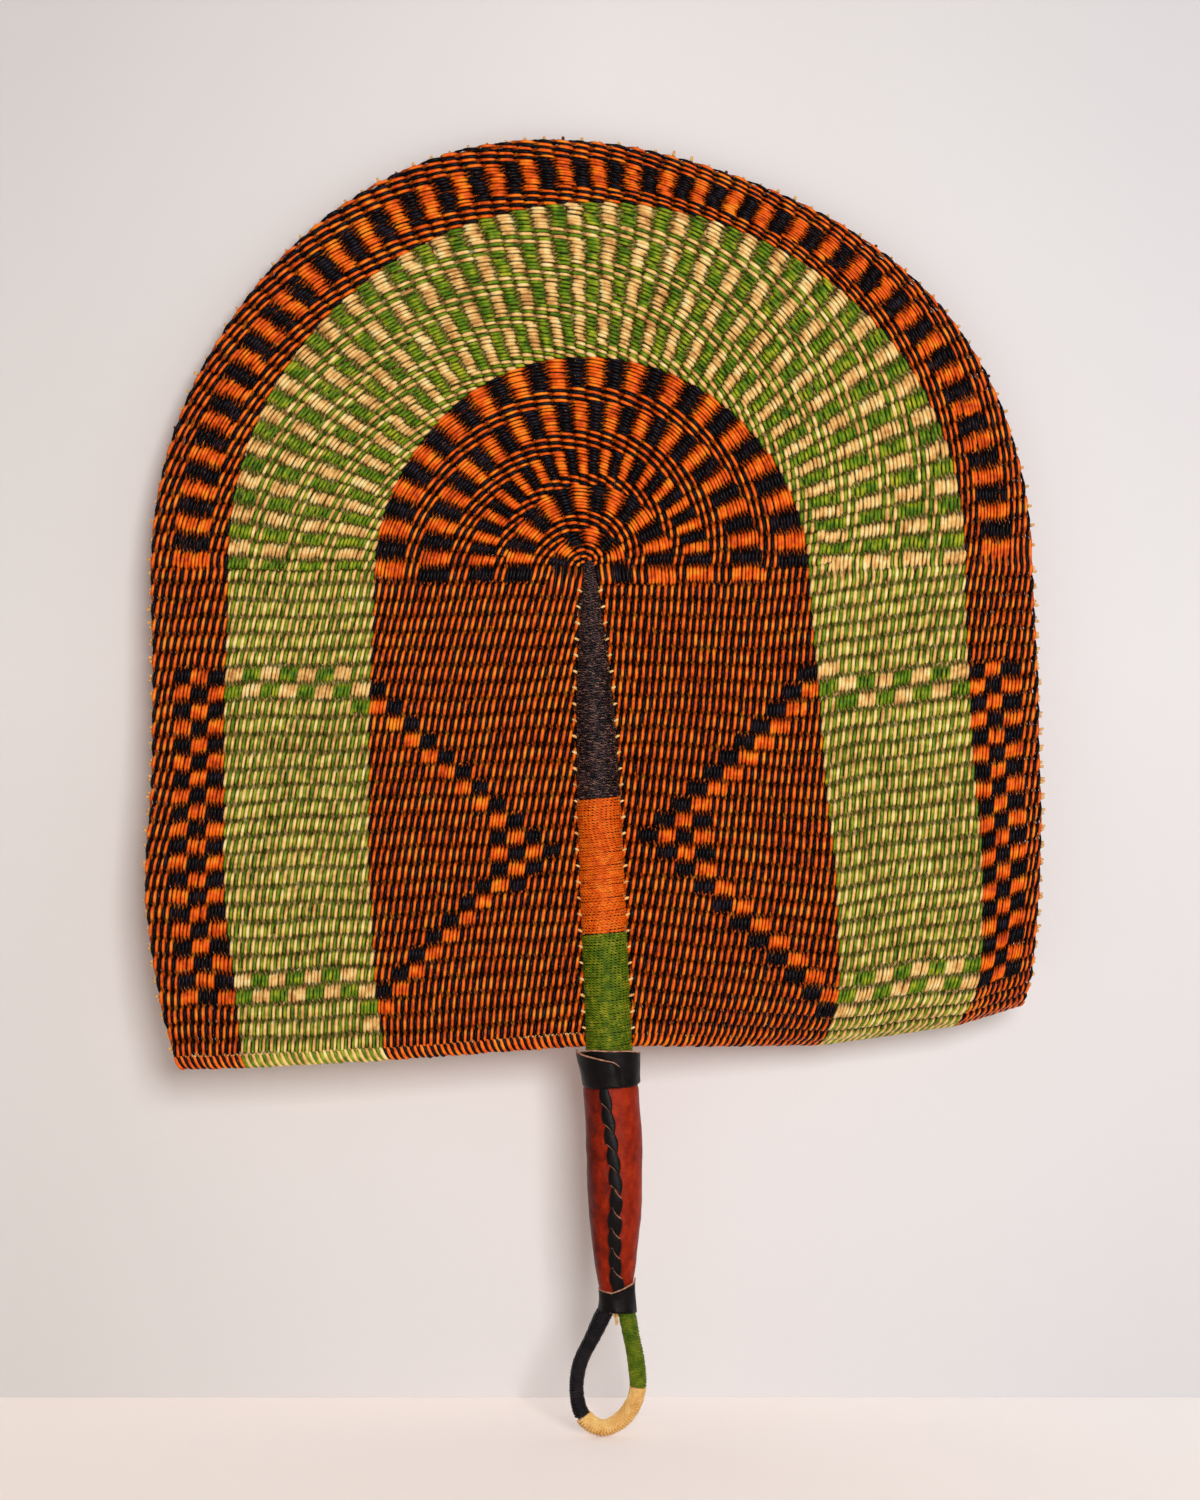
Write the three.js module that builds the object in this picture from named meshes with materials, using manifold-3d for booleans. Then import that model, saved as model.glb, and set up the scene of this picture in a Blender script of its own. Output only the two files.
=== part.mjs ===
// A hand fan woven from dyed straw. Ribs run across each leg and radiate in the crown, and three woven bands
// arch over them. The ribs' tails turn down into one tapering stem, wrapped in straw and gripped in leather,
// with a wrapped hanging loop at its end.
// Millimetres, +Z up, the front faces -Y and +X is to the right. The origin is the middle of the grip.
import * as THREE from "three";
import Module from "manifold-3d";
import { mergeVertices } from "three/addons/utils/BufferGeometryUtils.js";

const wasm = await Module();
wasm.setup();

// Clearances
const fitGap = 0.3; // between pieces that lie on each other
const seamGap = 0.4; // between two bands, where their wefts meet

// Ribs, each a bundle of three stems
const legRibs = 29; // in each straight leg
const crownRibs = 33; // in the round crown, each doubled
const ribHalfDepth = 0.95;
const legRibHalfWidth = 0.95;
const crownRibHalfWidth = 1.9;
const crownRootHalfWidth = 0.3; // where the crown's ribs crowd together
const ribTip = 1.0; // past the woven edge
const channelCorner = 1.5; // a channel's corners clear its rib by this many times the walls' gap
const legRootGap = 0.4; // from a leg rib's root to the crown's tails
const crownRootLap = 1.7; // of a crown rib in the hub's disc

// Hub, where the crown's ribs meet
const hubX = -9.8;
const hubRadius = 16; // the ribs part from each other here
const hubHalfDepth = 1.0;
const eyeRadius = 5; // the bare eye inside the first round of weft
const lipRoom = 0.1; // from the ribs' channels to the lips that cover the disc

// Woven bands
const bandHalfThickness = 2.0;
const innerReach = 82; // hub to the inner band's outer seam
const middleWidth = 57;
const outerWidth = 26;

// Hand-made unevenness of the three widths, at stations along the arch from the left hem to the right hem
const wanderRows = [29.5, 25.5, 20.5, 10.5]; // rows down a leg
const wanderAngles = [-90, -60, -20, 20, 60, 90]; // degrees round the crown
const innerWander = [-4.3, -0.4, 1.3, 2.3, 0, -2, -1.6, -2.3, -0.8, 1.9, 7.4, 13.4, 13.4, 6.9];
const middleWander = [-2.6, -3.4, -1.3, -1.7, -0.9, 1.6, 1.2, 3.5, 6.2, 3.3, 0.3, -1.9, -3.4, -4.2];
const outerWander = [-0.7, 3.1, 3.9, 1.2, 3.3, 1.6, 2, -6.9, -1.9, -0.5, -0.7, -4.1, -5, 0.1];

// Rows in the legs: pitch at the spine, at both seams and at the outer edge
const spineRowPitch = 6.19;
const leftRowPitch = [spineRowPitch, 6.38, 6.48, 6.51];
const rightRowPitch = [spineRowPitch, 6.49, 6.22, 5.93];

// The right leg's foot curls back out of the flat
const curlRows = 5; // rows that bend
const curlAngle = THREE.MathUtils.degToRad(58); // at the hem
const curlShare = [0, 1, 1, 1]; // none at the spine
const twistStep = THREE.MathUtils.degToRad(16); // the most that one stretch of a curled row turns

// Hem of turned strand ends
const hemHalfHeight = 2.7;
const hemHalfDepth = 1.8;
const hemGap = 0.4; // from the last row's weft

// Collars over the two ends of the grip
const collarThickness = 0.9;
const upperCollarTop = 54;
const upperCollarFoot = 41.2;
const upperCollarFlare = 1.5; // wider at the top
const lowerCollarTop = -36.4;
const lowerCollarFoot = -45.2;
const collarDip = 2.3; // the V where the lower collar's ends lap
const dipSharpness = 6; // power of the V's fall to each side
const collarGap = 0.5; // from the hem to the upper collar

// The hub's height: the collar, the hem and the rows of a leg stand on each other
const hemHeight = 2 * hemHalfHeight;
const hubZ = upperCollarTop + collarGap + hemHeight + hemGap + legRibs * spineRowPitch;

// Stem: the bundled tails of the ribs, wrapped in the blade and gripped below it
const stemSides = 12;
const depthRatio = 0.9; // depth over width
const tailHalfWidth = 0.9; // the crown's tails, between those of the legs
const stemTop = hubZ - 1;
const stemFoot = -44.3;
const stemHalfWidths = [
  [stemTop, 2.6],
  [224, 3.5],
  [186, 6.3],
  [152, 7.3],
  [100, 7.6],
  [55, 7.7],
  [42, 7.6],
  [14, 7.7],
  [2, 7.5],
  [-10, 6.8],
  [-21, 5.6],
  [-33, 4.6],
  [stemFoot, 4.6],
];
const stemCentres = [
  [stemTop, hubX],
  [55, -2.1],
  [14, 0],
  [stemFoot, 0.4],
];

// Straw wraps on the spine, one turn between each pair of rows
const blackTurns = 14;
const orangeTurns = 8;
const greenTurns = 7;
const wrapThickness = 1.0;
const wrapSideHalfHeight = 1.75; // between two ribs
const wrapFrontHalfHeight = 2.7;
const wrapBackHalfHeight = 2.3;
const wrapEndGap = 0.07; // turns, between two colours
const strandCrown = 0.6; // width of a turn's outer face over its inner face

// Cord that binds the tails inside the grip
const bindingTop = 28;
const bindingPitch = 8;
const bindingTurns = 5;
const bindingHalfHeight = 0.8;
const bindingThickness = 0.8;

// Leather grip
const leatherThickness = 1.4;
const leatherTop = 48;
const leatherFoot = -40;
const leatherHalfWidths = [
  [leatherTop, 9.4],
  [42, 9.5],
  [38, 10.5],
  [16, 10.8],
  [2, 10.55],
  [-10, 9.9],
  [-21, 8.65],
  [-31, 7.3],
  [-36, 6.5],
  [leatherFoot, 6.4],
];
const seamWidth = 1.2; // the slit that the lacing covers

// Lacing, a thong whipped over the seam
const lacingPath = [
  [39, -2.5],
  [16, -0.6],
  [1, 0.6],
  [-11, -0.2],
  [-26, -0.2],
  [-35.5, 0.8],
];
const lacingHalfWidth = 1.8;
const lacingScallop = 0.5;
const lacingThickness = 1.2;
const lacingStitches = 10;
const lacingCrown = 0.7; // width of the outer face over the inner face

// Hanging loop, hinged where its two legs leave the lower collar
const hingeZ = -46.5;
const loopCoreRadius = 1.9;
const loopWrapThickness = 0.8;
const loopWrapStart = 3.4; // bare straw at each leg's top
const loopWrapGap = 0.9; // along the loop, between two turns
const loopBlackTurns = 12;
const loopNaturalTurns = 7;
const loopGreenTurns = 8;
const loopBlackLength = 40.5;
const loopNaturalLength = 27.5;
const loopRoute = [
  [-4.4, hingeZ],
  [-8.9, -56],
  [-13.1, -65],
  [-14.6, -76],
  [-12, -85.8],
  [-4.8, -90.3],
  [3.6, -86.2],
  [8.6, -77],
  [8.3, -65],
  [6.4, -55],
  [4.8, hingeZ],
];

// Frayed straws that end between the loop's legs
const frayLengths = [4.2, 6.6, 5.2];
const frayPitch = 0.75;
const frayHalfWidth = 0.28;
const frayRootHeight = 1.2;

const matte = (color, roughness) => new THREE.MeshStandardMaterial({ color, roughness, metalness: 0 });
const naturalStraw = matte(0xe0ab72, 0.6);
const blackStraw = matte(0x262230, 0.45);
const orangeStraw = matte(0xe8650f, 0.5);
const greenStraw = matte(0x66861a, 0.5);
const innerWeave = matte(0x7a3512, 0.55);
const middleWeave = matte(0x9aa04a, 0.55);
const outerWeave = matte(0x8a3d14, 0.55);
const redLeather = matte(0x8f2713, 0.42);
const blackLeather = matte(0x241f1f, 0.45);

// Value at a height of a list of [height, value] pairs, straight between them
function valueAt(pairs, height) {
  const last = pairs.length - 1;
  const falling = pairs[0][0] > pairs[last][0];
  const list = falling ? [...pairs].reverse() : pairs;
  if (height <= list[0][0]) return list[0][1];
  for (let i = 1; i <= last; i++) {
    if (height <= list[i][0]) {
      const share = (height - list[i - 1][0]) / (list[i][0] - list[i - 1][0]);
      return THREE.MathUtils.lerp(list[i - 1][1], list[i][1], share);
    }
  }
  return list[last][1];
}

const stemHalf = (z) => valueAt(stemHalfWidths, z);
const stemX = (z) => valueAt(stemCentres, z);

// A closed mesh from corner points and faces, turned so that its faces point out
class Shell {
  constructor() {
    this.points = [];
    this.faces = [];
  }
  point(v) {
    this.points.push(v.x, v.y, v.z);
    return this.points.length / 3 - 1;
  }
  triangle(a, b, c) {
    this.faces.push(a, b, c);
  }
  quad(a, b, c, d) {
    this.faces.push(a, b, c, a, c, d);
  }
  volume() {
    const [a, b, c] = [new THREE.Vector3(), new THREE.Vector3(), new THREE.Vector3()];
    let sum = 0;
    for (let i = 0; i < this.faces.length; i += 3) {
      [a, b, c].forEach((v, k) => v.fromArray(this.points, 3 * this.faces[i + k]));
      sum += a.dot(b.cross(c));
    }
    return sum / 6;
  }
  geometry() {
    if (this.volume() < 0) this.faces.reverse();
    const geometry = new THREE.BufferGeometry();
    geometry.setAttribute("position", new THREE.Float32BufferAttribute(this.points, 3));
    geometry.setIndex(this.faces);
    geometry.computeVertexNormals();
    return geometry;
  }
}

// Joins equal rings of points into a closed solid; a hoop's last ring meets its first, and a rod has two caps
function loft(rings, hoop = false) {
  const shell = new Shell();
  const ids = rings.map((ring) => ring.map((v) => shell.point(v)));
  const count = rings[0].length;
  const spans = hoop ? rings.length : rings.length - 1;
  for (let i = 0; i < spans; i++) {
    const [here, next] = [ids[i], ids[(i + 1) % rings.length]];
    for (let j = 0; j < count; j++) {
      const k = (j + 1) % count;
      shell.quad(here[j], here[k], next[k], next[j]);
    }
  }
  if (!hoop) {
    for (const [ring, first] of [[ids[0], true], [ids[ids.length - 1], false]]) {
      for (let j = 0; 2 * j + 2 < count; j++) {
        const [a, b, c, d] = [ring[j], ring[j + 1], ring[count - 2 - j], ring[count - 1 - j]];
        if (b === c) first ? shell.triangle(d, b, a) : shell.triangle(a, b, d);
        else first ? shell.quad(d, c, b, a) : shell.quad(a, b, c, d);
      }
    }
  }
  return shell.geometry();
}

function solid(geometry) {
  const plain = geometry.clone();
  plain.deleteAttribute("normal");
  if (plain.getAttribute("uv")) plain.deleteAttribute("uv");
  const merged = mergeVertices(plain, 1e-5);
  const mesh = new wasm.Mesh({
    numProp: 3,
    vertProperties: new Float32Array(merged.getAttribute("position").array),
    triVerts: new Uint32Array(merged.getIndex().array),
  });
  return new wasm.Manifold(mesh);
}

// One solid from geometries that run into each other
function joined(geometries) {
  const whole = geometries.map(solid).reduce((sum, next) => sum.add(next));
  const mesh = whole.getMesh();
  const geometry = new THREE.BufferGeometry();
  geometry.setAttribute("position", new THREE.BufferAttribute(new Float32Array(mesh.vertProperties), 3));
  geometry.setIndex(new THREE.BufferAttribute(new Uint32Array(mesh.triVerts), 1));
  geometry.computeVertexNormals();
  return geometry;
}

const fan = new THREE.Group();
function add(parent, name, geometry, material) {
  const mesh = new THREE.Mesh(geometry, material);
  mesh.name = name;
  parent.add(mesh);
}

// Stations count cells along the arch: 0 is the left hem, then the crown, and the last is the right hem
const crownStart = legRibs;
const crownEnd = legRibs + crownRibs;
const archEnd = crownEnd + legRibs;
const inCrown = (cell) => cell >= crownStart && cell < crownEnd;
const wanderStations = [
  ...wanderRows.map((rows) => crownStart - rows),
  ...wanderAngles.map((angle) => crownStart + ((angle + 90) / 180) * crownRibs),
  ...[...wanderRows].reverse().map((rows) => crownEnd + rows),
];
const smooth = (values) => {
  const curve = new THREE.CubicInterpolant(wanderStations, values, 1, new Float32Array(1));
  return (station) => curve.evaluate(station)[0];
};
const wander = [smooth(innerWander), smooth(middleWander), smooth(outerWander)];
const widths = [innerReach, middleWidth, outerWidth];

// Distance of a line from the hub: 1 and 2 are the seams between bands, and 3 is the outer edge
function reach(station, line) {
  let sum = 0;
  for (let i = 0; i < line; i++) sum += widths[i] + wander[i](station);
  return sum;
}

const spineSide = (z) => stemHalf(z) + fitGap + wrapThickness + seamGap;

function linePoint(station, line) {
  if (station >= crownStart && station <= crownEnd) {
    const angle = ((station - crownStart) / crownRibs - 0.5) * Math.PI;
    const radius = line === 0 ? hubRadius : reach(station, line);
    return new THREE.Vector3(hubX + radius * Math.sin(angle), 0, hubZ + radius * Math.cos(angle));
  }
  const left = station < crownStart;
  const rows = left ? crownStart - station : station - crownEnd;
  const pitch = (left ? leftRowPitch : rightRowPitch)[line];
  const bent = left ? 0 : Math.max(0, rows - (legRibs - curlRows)) * curlShare[line];
  const flatRows = rows - bent;
  let [y, z] = [0, hubZ - flatRows * pitch];
  if (bent > 0) {
    const radius = (curlRows * pitch) / curlAngle;
    const angle = (bent * pitch) / radius;
    z -= radius * Math.sin(angle);
    y = radius * (1 - Math.cos(angle));
  }
  const side = left ? -1 : 1;
  const x = line === 0 ? stemX(z) + side * spineSide(z) : hubX + side * reach(station, line);
  return new THREE.Vector3(x, y, z);
}

// A frame has a point, the way across the ribs and the front's normal, both square to the rib
function frameOf(point, along, outward) {
  const normal = along.clone().cross(outward).normalize();
  return { point, normal, way: outward.clone().cross(normal).normalize() };
}

function outwardAt(points, line) {
  const [from, to] = [Math.max(line - 1, 0), Math.min(line + 1, 3)];
  return points[to].clone().sub(points[from]);
}

const boundaryPoints = [];
for (let b = 0; b <= archEnd; b++) boundaryPoints.push([0, 1, 2, 3].map((line) => linePoint(b, line)));
const boundaryFrames = boundaryPoints.map((points, b) =>
  points.map((point, line) => {
    const before = boundaryPoints[Math.max(b - 1, 0)][line];
    const after = boundaryPoints[Math.min(b + 1, archEnd)][line];
    return frameOf(point, after.clone().sub(before), outwardAt(points, line));
  }),
);
// A leg's first cell reaches in to the eye, under the crown's first round
function cellSide(cell, boundary) {
  const points = [...boundaryPoints[boundary]];
  const touchesCrown = boundary === crownStart || boundary === crownEnd;
  if (touchesCrown && !inCrown(cell)) {
    const side = boundary === crownStart ? -1 : 1;
    points[0] = new THREE.Vector3(hubX + side * eyeRadius, 0, hubZ);
  }
  return points;
}
const cellFrames = [];
for (let i = 0; i < archEnd; i++) {
  const [before, after] = [cellSide(i, i), cellSide(i, i + 1)];
  const middles = before.map((point, line) => point.clone().lerp(after[line], 0.5));
  const ways = before.map((point, line) => after[line].clone().sub(point));
  cellFrames.push(middles.map((point, line) => frameOf(point, ways[line], outwardAt(middles, line))));
}

// A point off the frames of one rib or boundary, at a place between two lines and past them
function offset(frames, line, share, sideways, forward) {
  const [a, b] = [frames[line], frames[line + 1]];
  const start = a.point.clone().addScaledVector(a.way, sideways[0]).addScaledVector(a.normal, forward);
  const end = b.point.clone().addScaledVector(b.way, sideways[1]).addScaledVector(b.normal, forward);
  return start.lerp(end, share);
}

function ribHalfWidth(cell, line) {
  if (!inCrown(cell)) return legRibHalfWidth;
  return line === 0 ? crownRootHalfWidth : crownRibHalfWidth;
}

// The three corners of a rib or of the channel round it: front, then the two at the back
function triangleAt(cell, line, share, room) {
  const frames = cellFrames[cell];
  const half = [0, 1].map((step) => ribHalfWidth(cell, line + step) + channelCorner * room);
  const back = -ribHalfDepth / 2 - room;
  return [
    offset(frames, line, share, [0, 0], ribHalfDepth + channelCorner * room),
    offset(frames, line, share, half, back),
    offset(frames, line, share, half.map((w) => -w), back),
  ];
}

const spanLength = (frames, line) => frames[line].point.distanceTo(frames[line + 1].point);

// Shares along a span between two lines; the inner span of a curled row twists, so it takes more steps
function spread(frames, line, from, to) {
  const twist = frames[line].normal.angleTo(frames[line + 1].normal);
  const steps = 1 + Math.ceil(twist / twistStep - 0.5);
  return Array.from({ length: steps + 1 }, (_, i) => THREE.MathUtils.lerp(from, to, i / steps));
}

// The strip of faces between two lists of points that run the same way
function strip(shell, here, next, flip) {
  const face = (p, q, r) => (flip ? shell.triangle(q, p, r) : shell.triangle(p, q, r));
  let [i, j] = [0, 0];
  while (i < here.length - 1 || j < next.length - 1) {
    const ahead = (i + 1) / (here.length - 1) <= (j + 1) / (next.length - 1);
    if (j === next.length - 1 || (ahead && i < here.length - 1)) face(here[i], next[j], here[++i]);
    else face(here[i], next[j], next[++j]);
  }
}

// One woven band between two lines, with a channel for each rib
function band(line) {
  const shell = new Shell();
  const startGap = line === 0 ? 0 : seamGap / 2;
  const endGap = line === 2 ? 0 : seamGap / 2;
  const lipDepth = Math.max(hubHalfDepth + fitGap, ribHalfDepth + channelCorner * fitGap + lipRoom);
  const first = (list) => list[0];
  const last = (list) => list[list.length - 1];
  const sharesOf = (frames) => {
    const span = spanLength(frames, line);
    return spread(frames, line, startGap / span, 1 - endGap / span);
  };
  const corners = boundaryFrames.map((frames, b) => {
    const at = (share, forward) => shell.point(offset(frames, line, share, [0, 0], forward));
    const shares = sharesOf(frames);
    const front = shares.map((share) => at(share, bandHalfThickness));
    const back = shares.map((share) => at(share, -bandHalfThickness));
    if (line > 0 || b < crownStart || b > crownEnd) return { front, back };
    const eye = (eyeRadius - hubRadius) / spanLength(frames, 0);
    return {
      front,
      back,
      frontLip: [at(eye, bandHalfThickness), at(eye, lipDepth), at(0, lipDepth)],
      backLip: [at(eye, -bandHalfThickness), at(eye, -lipDepth), at(0, -lipDepth)],
    };
  });
  // The end of a cell round its channel; each side is a list of points from the front to the back
  const endFace = (sides, channel, flip) => {
    const [top, next, before] = channel;
    const face = (p, q, r) => (flip ? shell.triangle(q, p, r) : shell.triangle(p, q, r));
    face(first(sides[0]), first(sides[1]), top);
    face(first(sides[1]), next, top);
    sides[1].slice(1).forEach((point, k) => face(sides[1][k], point, next));
    face(last(sides[1]), last(sides[0]), next);
    face(last(sides[0]), before, next);
    sides[0].slice(1).forEach((point, k) => face(point, sides[0][k], before));
    face(first(sides[0]), top, before);
  };
  const startSide = ({ front, back, frontLip, backLip }, underLips) => {
    if (!frontLip) return [front[0], back[0]];
    return underLips ? [frontLip[2], backLip[2]] : [frontLip[0], frontLip[1], backLip[1], backLip[0]];
  };
  const toEye = ({ front, back, frontLip, backLip }) => {
    return { front: [frontLip[0], ...front], back: [backLip[0], ...back] };
  };
  for (let i = 0; i < archEnd; i++) {
    const [a, b] = [corners[i], corners[i + 1]];
    const lips = line === 0 && inCrown(i);
    const faces = [a, b].map((corner) => (corner.frontLip && !lips ? toEye(corner) : corner));
    const sections = sharesOf(cellFrames[i]).map((share) => triangleAt(i, line, share, fitGap));
    const channel = sections.map((section) => section.map((v) => shell.point(v)));
    strip(shell, faces[0].front, faces[1].front, false);
    strip(shell, faces[0].back, faces[1].back, true);
    channel.slice(1).forEach((far, k) => {
      const near = channel[k];
      for (let corner = 0; corner < 3; corner++) {
        const next = (corner + 1) % 3;
        shell.quad(near[corner], far[corner], far[next], near[next]);
      }
    });
    endFace([startSide(a, lips), startSide(b, lips)], first(channel), true);
    const farSides = [a, b].map((corner) => [last(corner.front), last(corner.back)]);
    endFace(farSides, last(channel), false);
    if (lips) {
      strip(shell, [a.front[0], ...a.frontLip], [b.front[0], ...b.frontLip], true);
      strip(shell, [a.back[0], ...a.backLip], [b.back[0], ...b.backLip], false);
    }
  }
  const closeArch = (corner, flip) => strip(shell, corner.front, corner.back, flip);
  closeArch(first(corners), true);
  closeArch(last(corners), false);
  if (line === 0) {
    const wall = ({ frontLip, backLip }) => [frontLip[1], frontLip[2], backLip[2], backLip[1]];
    shell.quad(...wall(corners[crownStart]).reverse());
    shell.quad(...wall(corners[crownEnd]));
  }
  return shell.geometry();
}

add(fan, "inner_band", band(0), innerWeave);
add(fan, "middle_band", band(1), middleWeave);
add(fan, "outer_band", band(2), outerWeave);

// A rib from its root, which lies the given distance inside the first line, to its tip
function rib(cell, rootDistance) {
  const frames = cellFrames[cell];
  const root = -rootDistance / spanLength(frames, 0);
  const tip = 1 + ribTip / spanLength(frames, 2);
  const twisting = spread(frames, 0, 0, 1).slice(0, -1);
  return loft([
    triangleAt(cell, 0, root, 0),
    ...(twisting.length > 1 ? twisting : []).map((share) => triangleAt(cell, 0, share, 0)),
    triangleAt(cell, 1, 0, 0),
    triangleAt(cell, 2, 0, 0),
    triangleAt(cell, 2, tip, 0),
  ]);
}

// The stem's outline at a height, and the share of it left of, right of or between two cuts
const stemAngle = (step) => (step / stemSides) * 2 * Math.PI;
function stemPoint(z, step, grow) {
  const [half, angle] = [stemHalf(z), stemAngle(step)];
  const [x, y] = [(half + grow) * Math.cos(angle), (half * depthRatio + grow) * Math.sin(angle)];
  return new THREE.Vector3(stemX(z) + x, y, z);
}
function stemDepthAt(z, x) {
  const [front, next] = [stemPoint(z, 3, 0), stemPoint(z, 4, 0)];
  return THREE.MathUtils.mapLinear(x, 0, stemX(z) - next.x, front.y, next.y);
}
function tailRing(z, side) {
  const cut = tailHalfWidth + fitGap;
  const depth = stemDepthAt(z, cut);
  const x = stemX(z) + side * cut;
  const steps = side < 0 ? [4, 5, 6, 7, 8] : [2, 1, 0, 11, 10];
  const round = steps.map((step) => stemPoint(z, step, 0));
  return [new THREE.Vector3(x, depth, z), ...round, new THREE.Vector3(x, -depth, z)];
}
const stemHeights = [...new Set([...stemHalfWidths, ...stemCentres].map(([z]) => z))].sort((a, b) => b - a);

function legRibsGeometry(side) {
  const tails = loft(stemHeights.map((z) => tailRing(z, side)));
  const cells = side < 0 ? [0, crownStart] : [crownEnd, archEnd];
  const ribs = [];
  for (let cell = cells[0]; cell < cells[1]; cell++) {
    const start = cellFrames[cell][0].point;
    const inside = Math.abs(start.x - stemX(start.z)) - (tailHalfWidth + fitGap + legRootGap);
    ribs.push(rib(cell, inside));
  }
  return joined([tails, ...ribs]);
}
add(fan, "left_ribs", legRibsGeometry(-1), naturalStraw);
add(fan, "right_ribs", legRibsGeometry(1), naturalStraw);

function crownRibsGeometry() {
  const tails = loft(
    [hubZ + 1, ...stemHeights].map((z) => {
      const depth = z > stemTop ? hubHalfDepth : stemDepthAt(z, tailHalfWidth);
      const [left, right] = [stemX(z) - tailHalfWidth, stemX(z) + tailHalfWidth];
      const section = [[left, depth], [right, depth], [right, -depth], [left, -depth]];
      return section.map(([x, y]) => new THREE.Vector3(x, y, z));
    }),
  );
  const outline = new THREE.Shape();
  outline.absarc(0, 0, hubRadius - seamGap - fitGap, 0, Math.PI);
  const disc = new THREE.ExtrudeGeometry(outline, {
    depth: 2 * hubHalfDepth,
    bevelEnabled: false,
    curveSegments: crownRibs,
  });
  disc.rotateX(Math.PI / 2);
  disc.translate(hubX, hubHalfDepth, hubZ + fitGap);
  const ribs = [];
  for (let cell = crownStart; cell < crownEnd; cell++) {
    ribs.push(rib(cell, seamGap + fitGap + crownRootLap));
  }
  return joined([tails, disc, ...ribs]);
}
add(fan, "crown_ribs", crownRibsGeometry(), naturalStraw);

// Hem: the strand ends turned over each leg's last rib
function hem(side) {
  const edge = side < 0 ? 0 : archEnd;
  const drop = (hemHalfHeight + hemGap) * side;
  const ring = (line, share) =>
    [
      [-1, 0],
      [-0.5, 1],
      [0.5, 1],
      [1, 0],
      [0.5, -1],
      [-0.5, -1],
    ].map(([up, out]) => {
      const sideways = drop + up * hemHalfHeight;
      return offset(boundaryFrames[edge], line, share, [sideways, sideways], out * hemHalfDepth);
    });
  const twisting = spread(boundaryFrames[edge], 0, 0, 1).slice(0, -1);
  return loft([...twisting.map((share) => ring(0, share)), ring(1, 0), ring(2, 0), ring(2, 1)]);
}
add(fan, "left_hem", hem(-1), orangeStraw);
add(fan, "right_hem", hem(1), orangeStraw);

// Least distance between parts of a winding that are more than half a turn apart, over its corner points
function leastGap(name, rings, stepsPerTurn) {
  let least = Infinity;
  for (let i = 0; i < rings.length; i++) {
    for (let j = i + Math.ceil(stepsPerTurn / 2) + 1; j < rings.length; j++) {
      if (rings[i][0].distanceTo(rings[j][0]) > 3 * spineRowPitch) continue;
      for (const p of rings[i]) for (const q of rings[j]) least = Math.min(least, p.distanceTo(q));
    }
  }
  console.log(`${name}: least gap to itself ${least.toFixed(2)} mm`);
}

// Straw wound on the stem: level across the front, and down to the next turn round the back
function stemWinding(name, firstTurn, lastTurn, heightAt, halfHeightAt, thickness) {
  const rings = [];
  const [from, to] = [Math.round(firstTurn * stemSides), Math.round(lastTurn * stemSides)];
  for (let step = from; step <= to; step++) {
    const early = step === to ? wrapEndGap * stemSides : 0;
    const turn = (step - early) / stemSides;
    const z = heightAt(turn);
    const half = halfHeightAt(turn);
    const corner = (dz, grow) => {
      const whole = stemPoint(z + dz, step + 3, grow);
      return whole.lerp(stemPoint(z + dz, step + 2, grow), early);
    };
    rings.push([
      corner(-half, fitGap),
      corner(half, fitGap),
      corner(strandCrown * half, fitGap + thickness),
      corner(-strandCrown * half, fitGap + thickness),
    ]);
  }
  leastGap(name, rings, stemSides);
  return loft(rings);
}

// Turn counts start at the back; a turn's front lies between two ribs
const dropOf = (turn) => {
  const phase = turn - 0.25;
  const whole = Math.floor(phase);
  return whole + THREE.MathUtils.smoothstep(phase - whole, 0.5, 1);
};
const wrapHeight = (turn) => hubZ - (dropOf(turn) + 1) * spineRowPitch;
const wrapHalf = (turn) => {
  const facing = -Math.cos(turn * 2 * Math.PI);
  const wide = facing > 0 ? wrapFrontHalfHeight : wrapBackHalfHeight;
  return THREE.MathUtils.lerp(wrapSideHalfHeight, wide, Math.abs(facing));
};
const firstWrap = 0.25;
const wraps = [
  ["spine_wrap_black", blackTurns, blackStraw],
  ["spine_wrap_orange", orangeTurns, orangeStraw],
  ["spine_wrap_green", greenTurns, greenStraw],
];
let wrapTurn = firstWrap;
for (const [name, turns, material] of wraps) {
  const geometry = stemWinding(name, wrapTurn, wrapTurn + turns, wrapHeight, wrapHalf, wrapThickness);
  add(fan, name, geometry, material);
  wrapTurn += turns;
}

const bindingHeight = (turn) => bindingTop - turn * bindingPitch;
const bindingHalf = () => bindingHalfHeight;
const binding = stemWinding("core_binding", 0, bindingTurns, bindingHeight, bindingHalf, bindingThickness);
add(fan, "core_binding", binding, naturalStraw);

// Sleeve round the stem's axis from heights, an outer half width and a wall, in equal steps from a seam
const sleeveSteps = 16;
function sleeve({ heights, outer, wall, seamX = () => 0, slit = 0, top = () => 0 }) {
  const rings = [];
  const steps = slit > 0 ? sleeveSteps : sleeveSteps - 1;
  for (let step = 0; step <= steps; step++) {
    const at = (z, index, inward) => {
      const half = outer(z) - inward;
      const seam = -Math.PI / 2 + seamX(z) / outer(z);
      const slitAngle = slit / outer(z);
      const angle = seam + slitAngle / 2 + (step / sleeveSteps) * (2 * Math.PI - slitAngle);
      const lift = index === 0 ? top(angle) : 0;
      const [x, y] = [half * Math.cos(angle), (outer(z) * depthRatio - inward) * Math.sin(angle)];
      return new THREE.Vector3(stemX(z) + x, y, z + lift);
    };
    const outside = heights.map((z, index) => at(z, index, 0));
    const inside = heights.map((z, index) => at(z, index, wall)).reverse();
    rings.push([...outside, ...inside]);
  }
  return loft(rings, slit === 0);
}

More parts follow.
